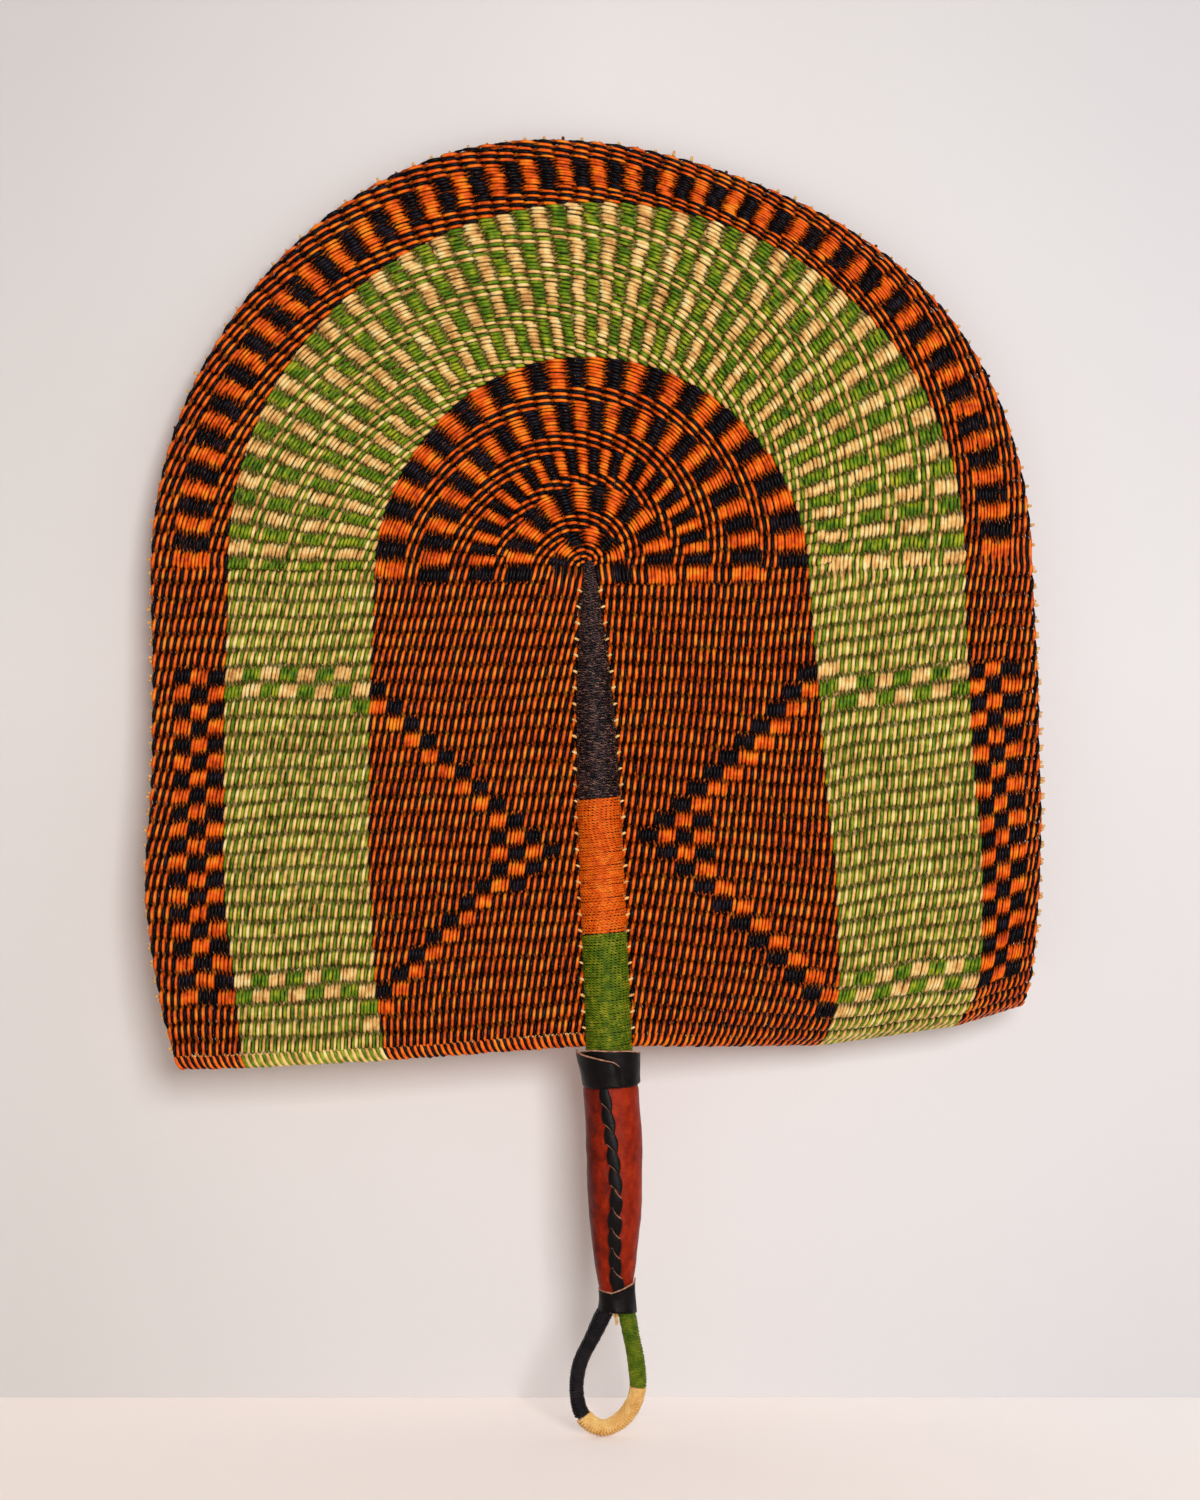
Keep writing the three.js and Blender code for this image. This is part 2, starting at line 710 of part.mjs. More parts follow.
const leatherHalf = (z) => valueAt(leatherHalfWidths, z);
const lacingX = (z) => valueAt(lacingPath, z);
const leather = sleeve({
  heights: leatherHalfWidths.map(([z]) => z),
  outer: leatherHalf,
  wall: leatherThickness,
  seamX: lacingX,
  slit: seamWidth,
});
add(fan, "grip_leather", leather, redLeather);

const upperCollarHeights = [upperCollarTop, leatherTop, upperCollarFoot];
const upperCollarHalf = (z) => {
  const share = THREE.MathUtils.clamp((z - upperCollarFoot) / (upperCollarTop - upperCollarFoot), 0, 1);
  return leatherHalf(leatherTop) + 2 * fitGap + collarThickness + share * upperCollarFlare;
};
const upperCollar = sleeve({ heights: upperCollarHeights, outer: upperCollarHalf, wall: collarThickness });
add(fan, "upper_collar", upperCollar, blackLeather);

const frontDip = (angle) => -collarDip * Math.max(0, -Math.sin(angle)) ** dipSharpness;
const lowerCollar = sleeve({
  heights: [lowerCollarTop, lowerCollarFoot],
  outer: () => leatherHalf(lowerCollarTop) + fitGap + collarThickness,
  wall: collarThickness,
  top: frontDip,
});
add(fan, "lower_collar", lowerCollar, blackLeather);

// Lacing: scalloped edges where each stitch of the thong crosses the seam
function lacing() {
  const rings = [];
  const [top, foot] = [lacingPath[0][0], lacingPath[lacingPath.length - 1][0]];
  const count = 2 * lacingStitches;
  for (let step = 0; step <= count; step++) {
    const z = THREE.MathUtils.lerp(top, foot, step / count);
    const bulge = step % 2 ? lacingScallop : -lacingScallop;
    const [left, right] = [-lacingHalfWidth - bulge, lacingHalfWidth - bulge];
    const surface = -(leatherHalf(z) * depthRatio + fitGap);
    const x = stemX(z) + lacingX(z);
    rings.push(
      [
        [left, 0],
        [right, 0],
        [right * lacingCrown, -lacingThickness],
        [left * lacingCrown, -lacingThickness],
      ].map(([dx, dy]) => new THREE.Vector3(x + dx, surface + dy, z)),
    );
  }
  return loft(rings);
}
add(fan, "grip_lacing", lacing(), blackLeather);

// Frayed straws: a root under the stem's foot and three tapering ends
function frayedStraws() {
  const x = stemX(stemFoot);
  const top = stemFoot - fitGap;
  const box = (cx, half, high, low, lowHalf) =>
    loft(
      [[high, half], [low, lowHalf]].map(([z, h]) =>
        [[-h, -frayHalfWidth], [h, -frayHalfWidth], [h, frayHalfWidth], [-h, frayHalfWidth]].map(
          ([dx, y]) => new THREE.Vector3(cx + dx, y, z),
        ),
      ),
    );
  const half = frayPitch + frayHalfWidth;
  const root = box(x, half, top, top - frayRootHeight, half);
  const ends = frayLengths.map((length, i) => {
    const cx = x + (i - 1) * frayPitch;
    return box(cx, frayHalfWidth, top - frayRootHeight / 2, top - length, frayHalfWidth / 2);
  });
  return joined([root, ...ends]);
}
add(fan, "frayed_straws", frayedStraws(), naturalStraw);

// Hanging loop: a bundle of straw bent round, with a rounded top to each leg
const loop = new THREE.Group();
const loopCurve = new THREE.CatmullRomCurve3(
  loopRoute.map(([x, z]) => new THREE.Vector3(x, 0, z)),
  false,
  "centripetal",
);
loopCurve.arcLengthDivisions = 400;
const loopLength = loopCurve.getLength();
const loopSides = 8;
function loopPoint(distance, step, radius) {
  const u = THREE.MathUtils.clamp(distance / loopLength, 0, 1);
  const [centre, tangent] = [loopCurve.getPointAt(u), loopCurve.getTangentAt(u)];
  centre.addScaledVector(tangent, distance - u * loopLength);
  const across = new THREE.Vector3(-tangent.z, 0, tangent.x);
  const angle = (step / loopSides) * 2 * Math.PI;
  centre.addScaledVector(across, radius * Math.cos(angle));
  centre.y += radius * Math.sin(angle);
  return centre;
}
function loopCore() {
  const spans = 28;
  const domes = [
    [0.95, 0.3],
    [0.7, 0.7],
  ];
  const places = [
    ...domes.map(([back, wide]) => [-back, wide]),
    ...Array.from({ length: spans + 1 }, (_, i) => [((i / spans) * loopLength) / loopCoreRadius, 1]),
    ...[...domes].reverse().map(([back, wide]) => [loopLength / loopCoreRadius + back, wide]),
  ];
  const steps = Array.from({ length: loopSides }, (_, step) => step);
  const ring = ([back, wide]) => {
    return steps.map((step) => loopPoint(back * loopCoreRadius, step, wide * loopCoreRadius));
  };
  return loft(places.map(ring));
}
add(loop, "loop_core", loopCore(), naturalStraw);

// Straw wound on the loop, in three colours one after another
function loopWinding(name, start, length, turns) {
  const rings = [];
  const pitch = length / (turns + 1);
  const half = (pitch - loopWrapGap) / 2;
  const inner = loopCoreRadius + fitGap;
  for (let step = 0; step <= turns * loopSides; step++) {
    const distance = start + pitch / 2 + (step / loopSides) * pitch;
    rings.push([
      loopPoint(distance - half, step, inner),
      loopPoint(distance + half, step, inner),
      loopPoint(distance + strandCrown * half, step, inner + loopWrapThickness),
      loopPoint(distance - strandCrown * half, step, inner + loopWrapThickness),
    ]);
  }
  leastGap(name, rings, loopSides);
  return loft(rings);
}
const naturalStart = loopWrapStart + loopBlackLength;
const greenStart = naturalStart + loopNaturalLength;
const greenLength = loopLength - loopWrapStart - greenStart;
const loopWraps = [
  ["loop_wrap_black", loopWrapStart, loopBlackLength, loopBlackTurns, blackStraw],
  ["loop_wrap_natural", naturalStart, loopNaturalLength, loopNaturalTurns, naturalStraw],
  ["loop_wrap_green", greenStart, greenLength, loopGreenTurns, greenStraw],
];
for (const [name, start, length, turns, material] of loopWraps) {
  add(loop, name, loopWinding(name, start, length, turns), material);
}
fan.add(loop);

export default fan;
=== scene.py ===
# %% [markdown]
# # A hand fan woven from dyed straw
# The real fan is a sheet of twined straw. Thin stakes run across its two legs and radiate in its crown, and
# pairs of coloured strands twine over them from one foot of the arch to the other. Here every strand is a
# real tube, so the pattern and the slant of the stitches come from the geometry. The small shadows between
# them come partly from the geometry and partly from painted shade where strands cross.

# %% Load the imported part and keep its box
import math

import bmesh
import bpy
import numpy as np
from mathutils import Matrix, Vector, noise


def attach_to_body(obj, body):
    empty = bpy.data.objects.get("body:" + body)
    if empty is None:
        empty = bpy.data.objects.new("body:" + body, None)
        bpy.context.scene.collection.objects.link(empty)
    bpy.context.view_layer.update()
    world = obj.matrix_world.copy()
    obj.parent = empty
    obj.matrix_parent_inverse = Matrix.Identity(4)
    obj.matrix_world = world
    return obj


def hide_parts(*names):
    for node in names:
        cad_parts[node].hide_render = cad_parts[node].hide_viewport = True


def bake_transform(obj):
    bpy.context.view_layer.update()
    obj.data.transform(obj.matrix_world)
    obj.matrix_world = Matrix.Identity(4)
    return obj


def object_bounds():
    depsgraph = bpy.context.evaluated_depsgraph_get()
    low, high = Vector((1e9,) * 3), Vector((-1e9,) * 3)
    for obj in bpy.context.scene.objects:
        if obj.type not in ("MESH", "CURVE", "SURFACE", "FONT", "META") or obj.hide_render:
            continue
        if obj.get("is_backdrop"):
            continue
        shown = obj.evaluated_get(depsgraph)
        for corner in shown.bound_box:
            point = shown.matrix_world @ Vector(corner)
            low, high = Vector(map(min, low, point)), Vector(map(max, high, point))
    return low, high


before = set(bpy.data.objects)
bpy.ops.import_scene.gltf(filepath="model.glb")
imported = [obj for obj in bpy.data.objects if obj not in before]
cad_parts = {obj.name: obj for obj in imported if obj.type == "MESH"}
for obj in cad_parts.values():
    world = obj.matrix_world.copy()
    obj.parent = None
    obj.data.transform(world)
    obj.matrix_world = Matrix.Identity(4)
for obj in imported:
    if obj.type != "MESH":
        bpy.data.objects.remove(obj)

CAD_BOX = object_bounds()
MM = 0.001
rng = np.random.default_rng(7)

# %% [markdown]
# ## Camera
# The camera comes first, because everything else is judged through it. It stands a metre in front of the
# fan, level with the middle of the picture. The focal length follows from the height that the picture
# covers at the fan.

# %% Camera
PICTURE_HEIGHT = 574.5 * MM  # at the fan's plane
PICTURE_MIDDLE_X, PICTURE_MIDDLE_Z = -5.6 * MM, 169.3 * MM
CAMERA_DISTANCE = 1.0
SENSOR = 36.0

camera_data = bpy.data.cameras.new("camera")
camera_data.sensor_width = SENSOR
camera_data.lens = SENSOR * CAMERA_DISTANCE / PICTURE_HEIGHT
camera_data.clip_start = 0.01
camera = bpy.data.objects.new("camera", camera_data)
camera.location = (PICTURE_MIDDLE_X, -CAMERA_DISTANCE, PICTURE_MIDDLE_Z)
camera.rotation_euler = (math.radians(90), 0, 0)
bpy.context.scene.collection.objects.link(camera)
bpy.context.scene.camera = camera
print(f"lens {camera_data.lens:.1f} mm")

# %% [markdown]
# ## Shader maths in plain expressions
# Straw and leather need many small sums of noises. Two helpers keep them readable: one wraps a socket so
# that the usual operators add Math nodes, and the other makes any node in one call. Nodes could be joined
# one by one as in the editor, but a sum of ten nodes is then ten times as long.


# %% A socket in a sum
class Wire:
    """A socket that can stand in a sum."""

    def __init__(self, paint, socket):
        self.paint, self.socket = paint, socket

    def _math(self, operation, first, second):
        return self.paint.node("ShaderNodeMath", {"operation": operation}, [first, second])

    def __add__(self, other):
        return self._math("ADD", self, other)

    def __radd__(self, other):
        return self._math("ADD", other, self)

    def __sub__(self, other):
        return self._math("SUBTRACT", self, other)

    def __rsub__(self, other):
        return self._math("SUBTRACT", other, self)

    def __mul__(self, other):
        return self._math("MULTIPLY", self, other)

    def __rmul__(self, other):
        return self._math("MULTIPLY", other, self)


# %% A material and its nodes
class Paint:
    """A material whose nodes are made one call at a time."""

    def __init__(self, name):
        self.material = bpy.data.materials.new(name)
        self.material.use_nodes = True
        self.tree = self.material.node_tree
        self.shader = self.tree.nodes["Principled BSDF"]

    def node(self, kind, settings=None, inputs=(), output=0):
        made = self.tree.nodes.new(kind)
        for name, value in (settings or {}).items():
            if name == "stops":
                self._set_stops(made.color_ramp, value)
            else:
                setattr(made, name, value)
        pairs = inputs.items() if isinstance(inputs, dict) else enumerate(inputs)
        for name, value in pairs:
            self.put(made.inputs[name], value)
        return Wire(self, made.outputs[output])

    def put(self, socket, value):
        if isinstance(value, Wire):
            self.tree.links.new(value.socket, socket)
        else:
            socket.default_value = value

    def _set_stops(self, ramp, stops):
        while len(ramp.elements) < len(stops):
            ramp.elements.new(0.5)
        for element, (position, colour) in zip(ramp.elements, stops):
            element.position, element.color = position, colour

    def noise(self, vector, scale, detail=2.0, roughness=0.5):
        inputs = {"Vector": vector, "Scale": scale, "Detail": detail, "Roughness": roughness}
        return self.node("ShaderNodeTexNoise", {}, inputs)

    def mapped(self, value, low, high):
        """0 at low, 1 at high and straight between them."""
        return self.node("ShaderNodeMapRange", {"clamp": True}, [value, low, high])

    def blend(self, factor, first, second):
        inputs = {0: factor, 6: first, 7: second}
        return self.node("ShaderNodeMix", {"data_type": "RGBA"}, inputs, output=2)

    def ramp(self, value, stops):
        return self.node("ShaderNodeValToRGB", {"stops": stops}, [value])

    def place(self):
        """The object's own coordinates."""
        return self.node("ShaderNodeTexCoord", output=3)

    def finish(self, **sockets):
        for name, value in sockets.items():
            self.put(self.shader.inputs[name.replace("_", " ")], value)
        return self.material

    def bump(self, height, distance, strength=1.0):
        inputs = {"Strength": strength, "Distance": distance, "Height": height}
        return self.node("ShaderNodeBump", {}, inputs)


# %% Colours
def srgb(red, green, blue):
    """A colour from 0 to 255, as paint programs write it, in the linear values that Blender uses."""
    linear = []
    for channel in (red, green, blue):
        share = channel / 255
        linear.append(share / 12.92 if share <= 0.04045 else ((share + 0.055) / 1.055) ** 2.4)
    return (*linear, 1.0)


# %% [markdown]
# ## Stage
# The fan stands on its loop and leans on a pale wall. Here the fan stays upright, so the wall leans to it:
# it is 60 mm behind the loop and 7 mm behind the crown, which keeps the shadow close at the top. The wall
# throws no shadow and is clear from behind, so that the fan can be looked at from all sides.

# %% Stage paint
FLOOR_HEIGHT = -93.6 * MM
WALL_DISTANCE = 60 * MM  # at the floor
CROWN_DISTANCE = 7 * MM
CROWN_HEIGHT = 405 * MM
WALL_HEIGHT = 2.0
WALL_LEAN = (CROWN_DISTANCE - WALL_DISTANCE) / (CROWN_HEIGHT - FLOOR_HEIGHT)
WALL_TOP = WALL_DISTANCE + WALL_LEAN * (WALL_HEIGHT - FLOOR_HEIGHT)
STAGE_HALF = 2.0
FALLOFF_HALF_WIDTH = 0.24  # of the painted fall of light from left to right over the picture
SHADE_START, SHADE_END, SHADE = 0.2, 0.46, 0.17  # heights between which the paint gets darker, and how much
CLEAR_BLACK = (0, 0, 0, 1)


def plaster(name, left, middle, right, glow=(0, 0, 0)):
    """Matt paint with light painted in three tones from left to right, and shade painted higher up. The
    camera alone sees its glow.
    """
    paint = Paint(name)
    place = paint.place()
    across = paint.node("ShaderNodeSeparateXYZ", {}, [place])
    patchy = across + (paint.noise(place, 3.0, 3.0) - 0.5) * 0.03
    share = paint.mapped(patchy, -FALLOFF_HALF_WIDTH, FALLOFF_HALF_WIDTH)
    # Painted light: the three tones paint a fall of light across the backdrop.
    colour = paint.ramp(share, [(0.05, left), (0.48, middle), (0.95, right)])
    height = paint.node("ShaderNodeSeparateXYZ", {}, [place], output=2)
    colour = paint.blend(paint.mapped(height, SHADE_START, SHADE_END) * SHADE, colour, CLEAR_BLACK)
    camera_ray = paint.node("ShaderNodeLightPath")
    seen_glow = paint.blend(camera_ray, CLEAR_BLACK, (*glow, 1))
    paint.finish(Base_Color=colour, Roughness=0.9, Emission_Color=seen_glow, Emission_Strength=1.0)
    behind = paint.node("ShaderNodeNewGeometry", output=6)
    clear = paint.node("ShaderNodeBsdfTransparent")
    painted = Wire(paint, paint.shader.outputs[0])
    surface = paint.node("ShaderNodeMixShader", {}, [camera_ray * behind, painted, clear])
    paint.put(paint.tree.nodes["Material Output"].inputs["Surface"], surface)
    return paint.material


# %% Wall and floor
def stage_plane(name, near, far, material):
    """A plane between a near and a far edge, each given by its place along Y and its height."""
    corners = [(-STAGE_HALF, *near), (STAGE_HALF, *near), (STAGE_HALF, *far), (-STAGE_HALF, *far)]
    bm = bmesh.new()
    bm.faces.new([bm.verts.new(corner) for corner in corners])
    mesh = bpy.data.meshes.new(name)
    bm.to_mesh(mesh)
    bm.free()
    mesh.materials.append(material)
    plane = bpy.data.objects.new(name, mesh)
    bpy.context.scene.collection.objects.link(plane)
    plane.visible_shadow = False
    plane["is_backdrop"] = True
    return plane


FLOOR_LIT_TONES = (srgb(242, 226, 218), srgb(242, 228, 222), srgb(238, 228, 223))
FLOOR_GLOW = (0.24, 0.24, 0.235)
# Painted light: the wall is palest in the middle of the picture and darker to both sides.
WALL_LIT_TONES = (srgb(229, 226, 224), srgb(240, 237, 236), srgb(227, 226, 228))
skirting = (WALL_DISTANCE, FLOOR_HEIGHT)
floor_paint = plaster("floor_paint", *FLOOR_LIT_TONES, FLOOR_GLOW)
floor = stage_plane("floor", (-STAGE_HALF, FLOOR_HEIGHT), skirting, floor_paint)
wall = stage_plane("wall", skirting, (WALL_TOP, WALL_HEIGHT), plaster("wall_paint", *WALL_LIT_TONES))
print(f"the wall leans {math.degrees(math.atan(-WALL_LEAN)):.1f} degrees to the fan")

# %% [markdown]
# ## Light
# One large soft lamp stands to the right of the camera, as a window would, and a weak warm world fills the
# shadows. A second lamp behind lights the fan alone, so that its back can be judged too. Light linking
# keeps it off the wall and the floor. A picture of a room could light it too, but two lamps are easier to
# understand and to move.

# %% Light
WORLD_COLOUR = (1.0, 0.95, 0.9, 1.0)
WORLD_STRENGTH = 0.29
LAMP_AIM = (0, 0, 0.15)

world = bpy.data.worlds.new("room")
world.use_nodes = True
background = world.node_tree.nodes["Background"]
background.inputs["Color"].default_value = WORLD_COLOUR
background.inputs["Strength"].default_value = WORLD_STRENGTH
bpy.context.scene.world = world
bpy.context.scene.view_settings.view_transform = "Standard"


# %% Lamps
def soft_lamp(name, place, size, power, past=None):
    """A square lamp. It leaves out the things in the collection past, if one is given."""
    lamp_data = bpy.data.lights.new(name, "AREA")
    lamp_data.size = size
    lamp_data.energy = power
    lamp = bpy.data.objects.new(name, lamp_data)
    lamp.location = place
    lamp.rotation_euler = (Vector(LAMP_AIM) - Vector(place)).to_track_quat("-Z", "Y").to_euler()
    bpy.context.scene.collection.objects.link(lamp)
    if past:
        lamp.light_linking.receiver_collection = past
        for entry in past.collection_objects:
            entry.light_linking.link_state = "EXCLUDE"


room = bpy.data.collections.new("room")
for plane in (floor, wall):
    room.objects.link(plane)
soft_lamp("key", place=(0.27, -1.3, 0.42), size=0.46, power=12.6)
soft_lamp("back", place=(-0.4, 1.3, 0.5), size=0.5, power=9.0, past=room)

# %% [markdown]
# ## Straw
# Dyed straw is satin, a little uneven in dye, and streaked along each strand. A tube's own UV map runs
# along and round the strand, so streaks follow it everywhere. Larger clouds of dye read the object's
# coordinates. An image of straw could be wrapped round each strand instead, but noise needs no seams and
# never repeats. Where strands cross, and on the sides that face the next strand, an attribute of the mesh
# paints shade into the colour.


# %% Straw finishes
PAINTED_SHADE_TONE = srgb(14, 6, 3)  # painted shade where strands cross and on the sides that face the next strand
PAINTED_SHADE_STRENGTH = 0.82
STREAKS_ROUND = 5.0  # how often the streaks change round a strand
STITCH_SCALE, CLOUD_SCALE, MOTTLE_SCALE, FIBRE_SCALE = 300.0, 48.0, 1100.0, 900.0
YARN = {"grain": 1500.0, "blotches": 0.5}


def straw(
    name, dark, middle, light, roughness, sheen=0.3, fleck=None, flecks=0.66, grain=160.0, blotches=0.95
):
    """Streaked straw in three tones, with flecks where their noise is above a level.

    Grain is how often the streaks change along a strand, and blotches how strongly places differ in tone.
    """
    paint = Paint(name)
    place = paint.place()
    along = paint.node("ShaderNodeUVMap", {"uv_map": "UVMap"})
    often = (grain, STREAKS_ROUND, 1.0)
    streak_place = paint.node("ShaderNodeMapping", {}, {"Vector": along, "Scale": often})
    streak = paint.noise(streak_place, 1.0, 3.0, 0.6)
    stitch = paint.noise(place, STITCH_SCALE, 1.0)
    cloud = paint.noise(place, CLOUD_SCALE, 2.0)
    tone = streak * (1.6 - blotches) + stitch * blotches + cloud * 0.25 - 0.425
    colour = paint.ramp(tone, [(0.24, dark), (0.5, middle), (0.76, light)])
    if fleck:
        mottle = streak if grain == YARN["grain"] else paint.noise(place, MOTTLE_SCALE, 2.0)
        spots = paint.mapped(mottle, flecks, flecks + 0.06)
        colour = paint.blend(spots * 0.8, colour, fleck)
    # Painted shade: darker where strands cross and on the sides that face the next strand.
    hollow = paint.node("ShaderNodeAttribute", {"attribute_name": "hollow"}, output=2)
    colour = paint.blend(paint.mapped(hollow, 0.1, 0.9) * PAINTED_SHADE_STRENGTH, colour, PAINTED_SHADE_TONE)
    rough = roughness + streak * 0.16 - 0.08
    normal = paint.bump(streak, 0.00012, 0.6)
    return paint.finish(Base_Color=colour, Roughness=rough, Normal=normal, Specular_IOR_Level=sheen)


def shaded_stakes(name, inside, tip):
    """Natural stakes, painted dark inside the weave as shade between strands, and pale at both ends."""
    paint = Paint(name)
    along = paint.node("ShaderNodeSeparateXYZ", {}, [paint.node("ShaderNodeUVMap", {"uv_map": "UVMap"})])
    pale = paint.mapped(along, 0.03, 0.015) + paint.mapped(along, 0.89, 0.92)
    fibre = paint.noise(paint.place(), FIBRE_SCALE, 3.0, 0.6)
    end = paint.blend(paint.mapped(fibre, 0.3, 0.7), NATURAL_TONES[0], tip)
    # Painted shade: dark inside the weave, natural straw only at the pale ends.
    colour = paint.blend(pale, inside, end)
    normal = paint.bump(fibre, 0.0001, 0.5)
    return paint.finish(Base_Color=colour, Roughness=0.55, Normal=normal, Specular_IOR_Level=0.2)


# %% Dyed and natural straw
NATURAL_TONES = (srgb(200, 138, 70), srgb(248, 196, 114), srgb(255, 234, 164))
ORANGE_TONES = (srgb(184, 58, 0), srgb(252, 100, 4), srgb(255, 150, 26))
GREEN_TONES = (srgb(50, 88, 4), srgb(102, 138, 10), srgb(180, 182, 36))
BLACK_TONES = (srgb(4, 3, 6), srgb(8, 6, 11), srgb(31, 25, 36))
SCUFF, STRAY_FIBRE, WORN_PLY = srgb(150, 98, 60), srgb(214, 166, 60), srgb(176, 126, 104)
NATURAL = straw("natural_straw", *NATURAL_TONES, roughness=0.5)
ORANGE = straw("orange_straw", *ORANGE_TONES, roughness=0.45, sheen=0.2)
BLACK = straw("black_straw", *BLACK_TONES, roughness=0.38, sheen=0.1, fleck=SCUFF, flecks=0.7)
GREEN = straw("green_straw", *GREEN_TONES, roughness=0.48, sheen=0.22, fleck=STRAY_FIBRE, flecks=0.7)
# The stakes' dark inside colour is painted shade for the gaps between strands.
STAKE_STRAW = shaded_stakes("stakes_in_painted_shade", inside=srgb(74, 36, 14), tip=srgb(244, 194, 126))

# %% Straw for the windings
ORANGE_YARN_TONES = (srgb(172, 58, 2), srgb(238, 98, 10), srgb(255, 146, 36))
GREEN_YARN_TONES = (srgb(44, 76, 4), srgb(92, 118, 10), srgb(176, 168, 40))
LOOP_YARN_TONES = (srgb(5, 3, 7), srgb(12, 9, 15), srgb(56, 42, 50))
BLACK_YARN_TONES = (srgb(5, 3, 7), srgb(19, 13, 20), srgb(86, 62, 64))
NATURAL_YARN = straw("natural_yarn", *NATURAL_TONES, roughness=0.5, sheen=0.26, **YARN)
ORANGE_YARN = straw("orange_yarn", *ORANGE_YARN_TONES, roughness=0.45, sheen=0.2, **YARN)
GREEN_YARN = straw("green_yarn", *GREEN_YARN_TONES, roughness=0.48, sheen=0.2, **YARN)
BLACK_SATIN = {"roughness": 0.36, "sheen": 0.26, **YARN}
LOOP_YARN = straw("black_loop_yarn", *LOOP_YARN_TONES, **BLACK_SATIN)
BLACK_YARN = straw("black_yarn", *BLACK_YARN_TONES, fleck=WORN_PLY, flecks=0.56, **BLACK_SATIN)
print("windings:", *(yarn.name for yarn in (NATURAL_YARN, ORANGE_YARN, GREEN_YARN, LOOP_YARN, BLACK_YARN)))

# %% [markdown]
# ## Where the blade runs
# The arch is unrolled into two numbers. Station s counts stakes from the left foot over the crown to the
# right foot. Line v counts across: 0 at the spine, 1 and 2 at the seams between bands, and 3 at the outer
# edge. One function turns both into a place, so strands, stakes and hems share the same hand-made
# unevenness as the solid part.

# %% Blade layout
# Widths and heights from here on are in millimetres. Rows are counted from the crown down.
LEG_ROWS = 29
CROWN_ROWS = 33
CROWN_START = LEG_ROWS
CROWN_END = LEG_ROWS + CROWN_ROWS
ARCH_END = CROWN_END + LEG_ROWS
HUB_X, HUB_Z = -9.8, 239.8  # the middle of the crown's half circles
HUB_REACH = 2.7
BAND_WIDTHS = (82, 57, 26)
# How much wider each band runs at some rows of the left leg, angles of the crown and rows of the right leg.
WANDER_ROWS = (29.5, 25.5, 20.5, 10.5)
WANDER_ANGLES = (-90, -60, -20, 20, 60, 90)
WANDER = (
    (-4.3, -0.4, 1.3, 2.3, 0, -2, -1.6, -2.3, -0.8, 1.9, 7.4, 13.4, 13.4, 6.9),
    (-2.6, -3.4, -1.3, -1.7, -0.9, 1.6, 1.2, 3.5, 6.2, 3.3, 0.3, -1.9, -3.4, -4.2),
    (-0.7, 3.1, 3.9, 1.2, 3.3, 1.6, 2, -6.9, -1.9, -0.5, -0.7, -4.1, -5, 0.1),
)
LEFT_PITCH = (6.19, 6.38, 6.48, 6.51)
RIGHT_PITCH = (6.19, 6.49, 6.22, 5.93)
CURL_ROWS = 5
CURL_ANGLE = math.radians(58)

# %% Stem layout
STEM_HALF = (  # a height and the stem's half width there
    (242, 0.7), (240, 1.3), (232, 2.3), (224, 3.2), (205, 4.9), (186, 6.3), (152, 7.3), (100, 7.6),
    (55, 7.7), (42, 7.6), (14, 7.7), (2, 7.5), (-10, 6.8), (-21, 5.6), (-33, 4.6), (-44.3, 4.6),
)
STEM_CENTRES = ((238.8, -9.8), (55, -2.1), (14, 0), (-44.3, 0.4))  # a height and the stem's x there
STEM_DEPTH = 0.9  # of its width
WRAP_GAP = 0.3
WRAP_THICKNESS = 1.0
SEAM_GAP = 0.4


def at_height(pairs, z):
    heights, values = zip(*sorted(pairs))
    return np.interp(z, heights, values)


def stem_half(z):
    return at_height(STEM_HALF, z)


def stem_x(z):
    return at_height(STEM_CENTRES, z)


print(f"stem: {2 * stem_half(0):.1f} mm wide inside the grip")


# %% Smooth curves
def cubic(t, start, end, pull_start, pull_end):
    """A span from start to end, where t runs from 0 to 1, with its slope at each end."""
    return (
        start * (2 * t**3 - 3 * t**2 + 1)
        + pull_start * (t**3 - 2 * t**2 + t)
        + end * (3 * t**2 - 2 * t**3)
        + pull_end * (t**3 - t**2)
    )


def smooth_table(knots, values, places):
    """A smooth curve through the knots, read at many places."""
    knots, values = np.array(knots, float), np.array(values, float)
    slopes = np.gradient(values, knots)
    spans = np.clip(np.searchsorted(knots, places, side="right") - 1, 0, len(knots) - 2)
    length = knots[spans + 1] - knots[spans]
    t = np.clip((places - knots[spans]) / length, 0, 1)
    pull_start, pull_end = slopes[spans] * length, slopes[spans + 1] * length
    return cubic(t, values[spans], values[spans + 1], pull_start, pull_end)


# %% Widths of the bands along the arch
TABLE_STATIONS = np.linspace(-1.5, ARCH_END + 1.5, 1201)
WANDER_STATIONS = (
    [CROWN_START - rows for rows in WANDER_ROWS]
    + [CROWN_START + (angle + 90) / 180 * CROWN_ROWS for angle in WANDER_ANGLES]
    + [CROWN_END + rows for rows in reversed(WANDER_ROWS)]
)
REACH_TABLE = [np.zeros_like(TABLE_STATIONS)]
for width, wander in zip(BAND_WIDTHS, WANDER):
    wider = smooth_table(WANDER_STATIONS, wander, TABLE_STATIONS)
    REACH_TABLE.append(REACH_TABLE[-1] + width + wider)
reaches = [f"{table.min():.0f} to {table.max():.0f}" for table in REACH_TABLE[1:]]
print("reach of the seams and the edge, in mm:", ", ".join(reaches))


